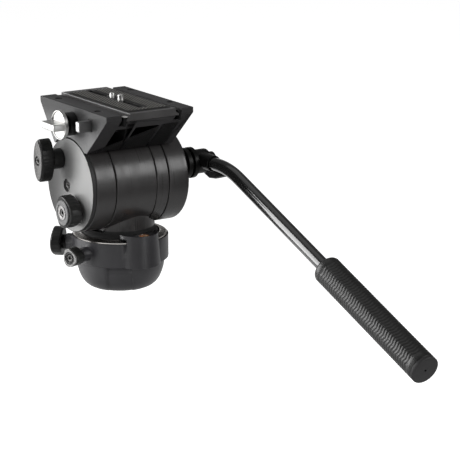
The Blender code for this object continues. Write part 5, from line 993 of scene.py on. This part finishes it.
GRIP_BORE = 0.0067
GRIP_RADIUS = 0.0133
RIB_BASE = 0.0131
RIB_PITCH = 0.0034
RIB_DEPTH = 0.0006
RIB_WAVES = 8
RIB_SWING = 0.0009
FIRST_RIB, LAST_RIB = 0.0100, 0.1435
RIB_ROWS = int((LAST_RIB - FIRST_RIB) / RIB_PITCH * 6)
grip_start = TUBE_CORNER + TUBE_WAY * GRIP_START
ribbed = [(RIB_BASE, FIRST_RIB + (LAST_RIB - FIRST_RIB) * row / RIB_ROWS) for row in range(RIB_ROWS + 1)]
grip = turned(
    "rubber_grip", (0, 0, 0), (0, 0, 1),
    [(GRIP_BORE, 0), (0.0100, 0), (0.0112, 0.0006), (0.0128, 0.0022), (GRIP_RADIUS, 0.0036),
     (GRIP_RADIUS, 0.0092), (RIB_BASE, 0.0096)] + ribbed
    + [(GRIP_RADIUS, 0.1440), (GRIP_RADIUS, 0.1494), (0.0129, GRIP_LENGTH), (GRIP_BORE, GRIP_LENGTH),
       (GRIP_BORE, 0)],
    96, closed=False)


def wavy_ribs(point):
    """The ribs round the grip, which swing to and fro along it."""
    away = math.hypot(point.x, point.y)
    if abs(away - RIB_BASE) > 0.00002 or not FIRST_RIB < point.z < LAST_RIB:
        return point
    angle = math.atan2(point.y, point.x)
    wave = (point.z + RIB_SWING * math.cos(RIB_WAVES * angle)) / RIB_PITCH
    ridge = abs(math.sin(math.pi * wave)) ** 0.7
    new = GRIP_RADIUS - RIB_DEPTH * (1 - ridge)
    return Vector((point.x * new / away, point.y * new / away, point.z))


reshape(grip, wavy_ribs)
set_down(grip, grip_start, TUBE_WAY)
grip_rubber = Finish("grip_rubber")
grip_speck = grip_rubber.cloud(grip_rubber.place(), 1100, 3)
grip_dust = grip_rubber.cloud(grip_rubber.place(), 60, 3)
grip_rubber.set(
    Base_Color=grip_rubber.blend(grip_dust, grey(0.008), (0.015, 0.015, 0.0145)),
    Roughness=0.38 + (grip_dust - 0.5) * 0.16, Normal=grip_rubber.bump(grip_speck, 0.00003))
dress(rounded(grip, 0, 50), grip_rubber, "handle", "black_rubber", "grip")

cap = turned(
    "grip_cap", grip_start + TUBE_WAY * (GRIP_LENGTH + 0.0003), TUBE_WAY,
    [(0.0060, 0), (GRIP_RADIUS, 0), (GRIP_RADIUS, 0.0026), (0.0130, 0.0031), (0.0122, 0.0034),
     (0.0112, 0.0035), (0.0013, 0.0035), (0.0011, 0.0033), (0.0011, 0.0018), (0.0002, 0.0016)], 72)
cap_black = Finish("cap_black")
cap_grain = cap_black.cloud(cap_black.place(), 1300, 2)
cap_black.set(
    Base_Color=cap_black.blend(cap_grain, (0.012, 0.0115, 0.012), (0.020, 0.019, 0.020)),
    Roughness=0.5 + cap_grain * 0.1, Normal=cap_black.bump(cap_grain, 0.00003))
dress(rounded(cap, 0, 40), cap_black, "handle", "black_rubber", "grip_end_cap")


# What works inside, such as the shaft, springs, damper, bearings and brakes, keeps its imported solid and
# is given turned steel or brass.

hidden_steel = bright_steel("hidden_steel", 0.56, 0.40)
hidden_brass = Finish("hidden_brass")
brass_stains = hidden_brass.cloud(hidden_brass.place(), 200, 3)
hidden_brass.set(
    Base_Color=hidden_brass.blend(brass_stains, (0.50, 0.34, 0.15), (0.72, 0.54, 0.28)), Metallic=1.0,
    Roughness=0.3 + brass_stains * 0.15)
IN_BRASS = ("pan_bush", "pan_lock_shoe", "pan_drag_shoe", "tilt_lock_pad", "tilt_drag_pad")
for node_name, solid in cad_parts.items():
    if solid.hide_render:
        continue
    for place in solid.material_slots:
        place.material = (hidden_brass if node_name in IN_BRASS else hidden_steel).material
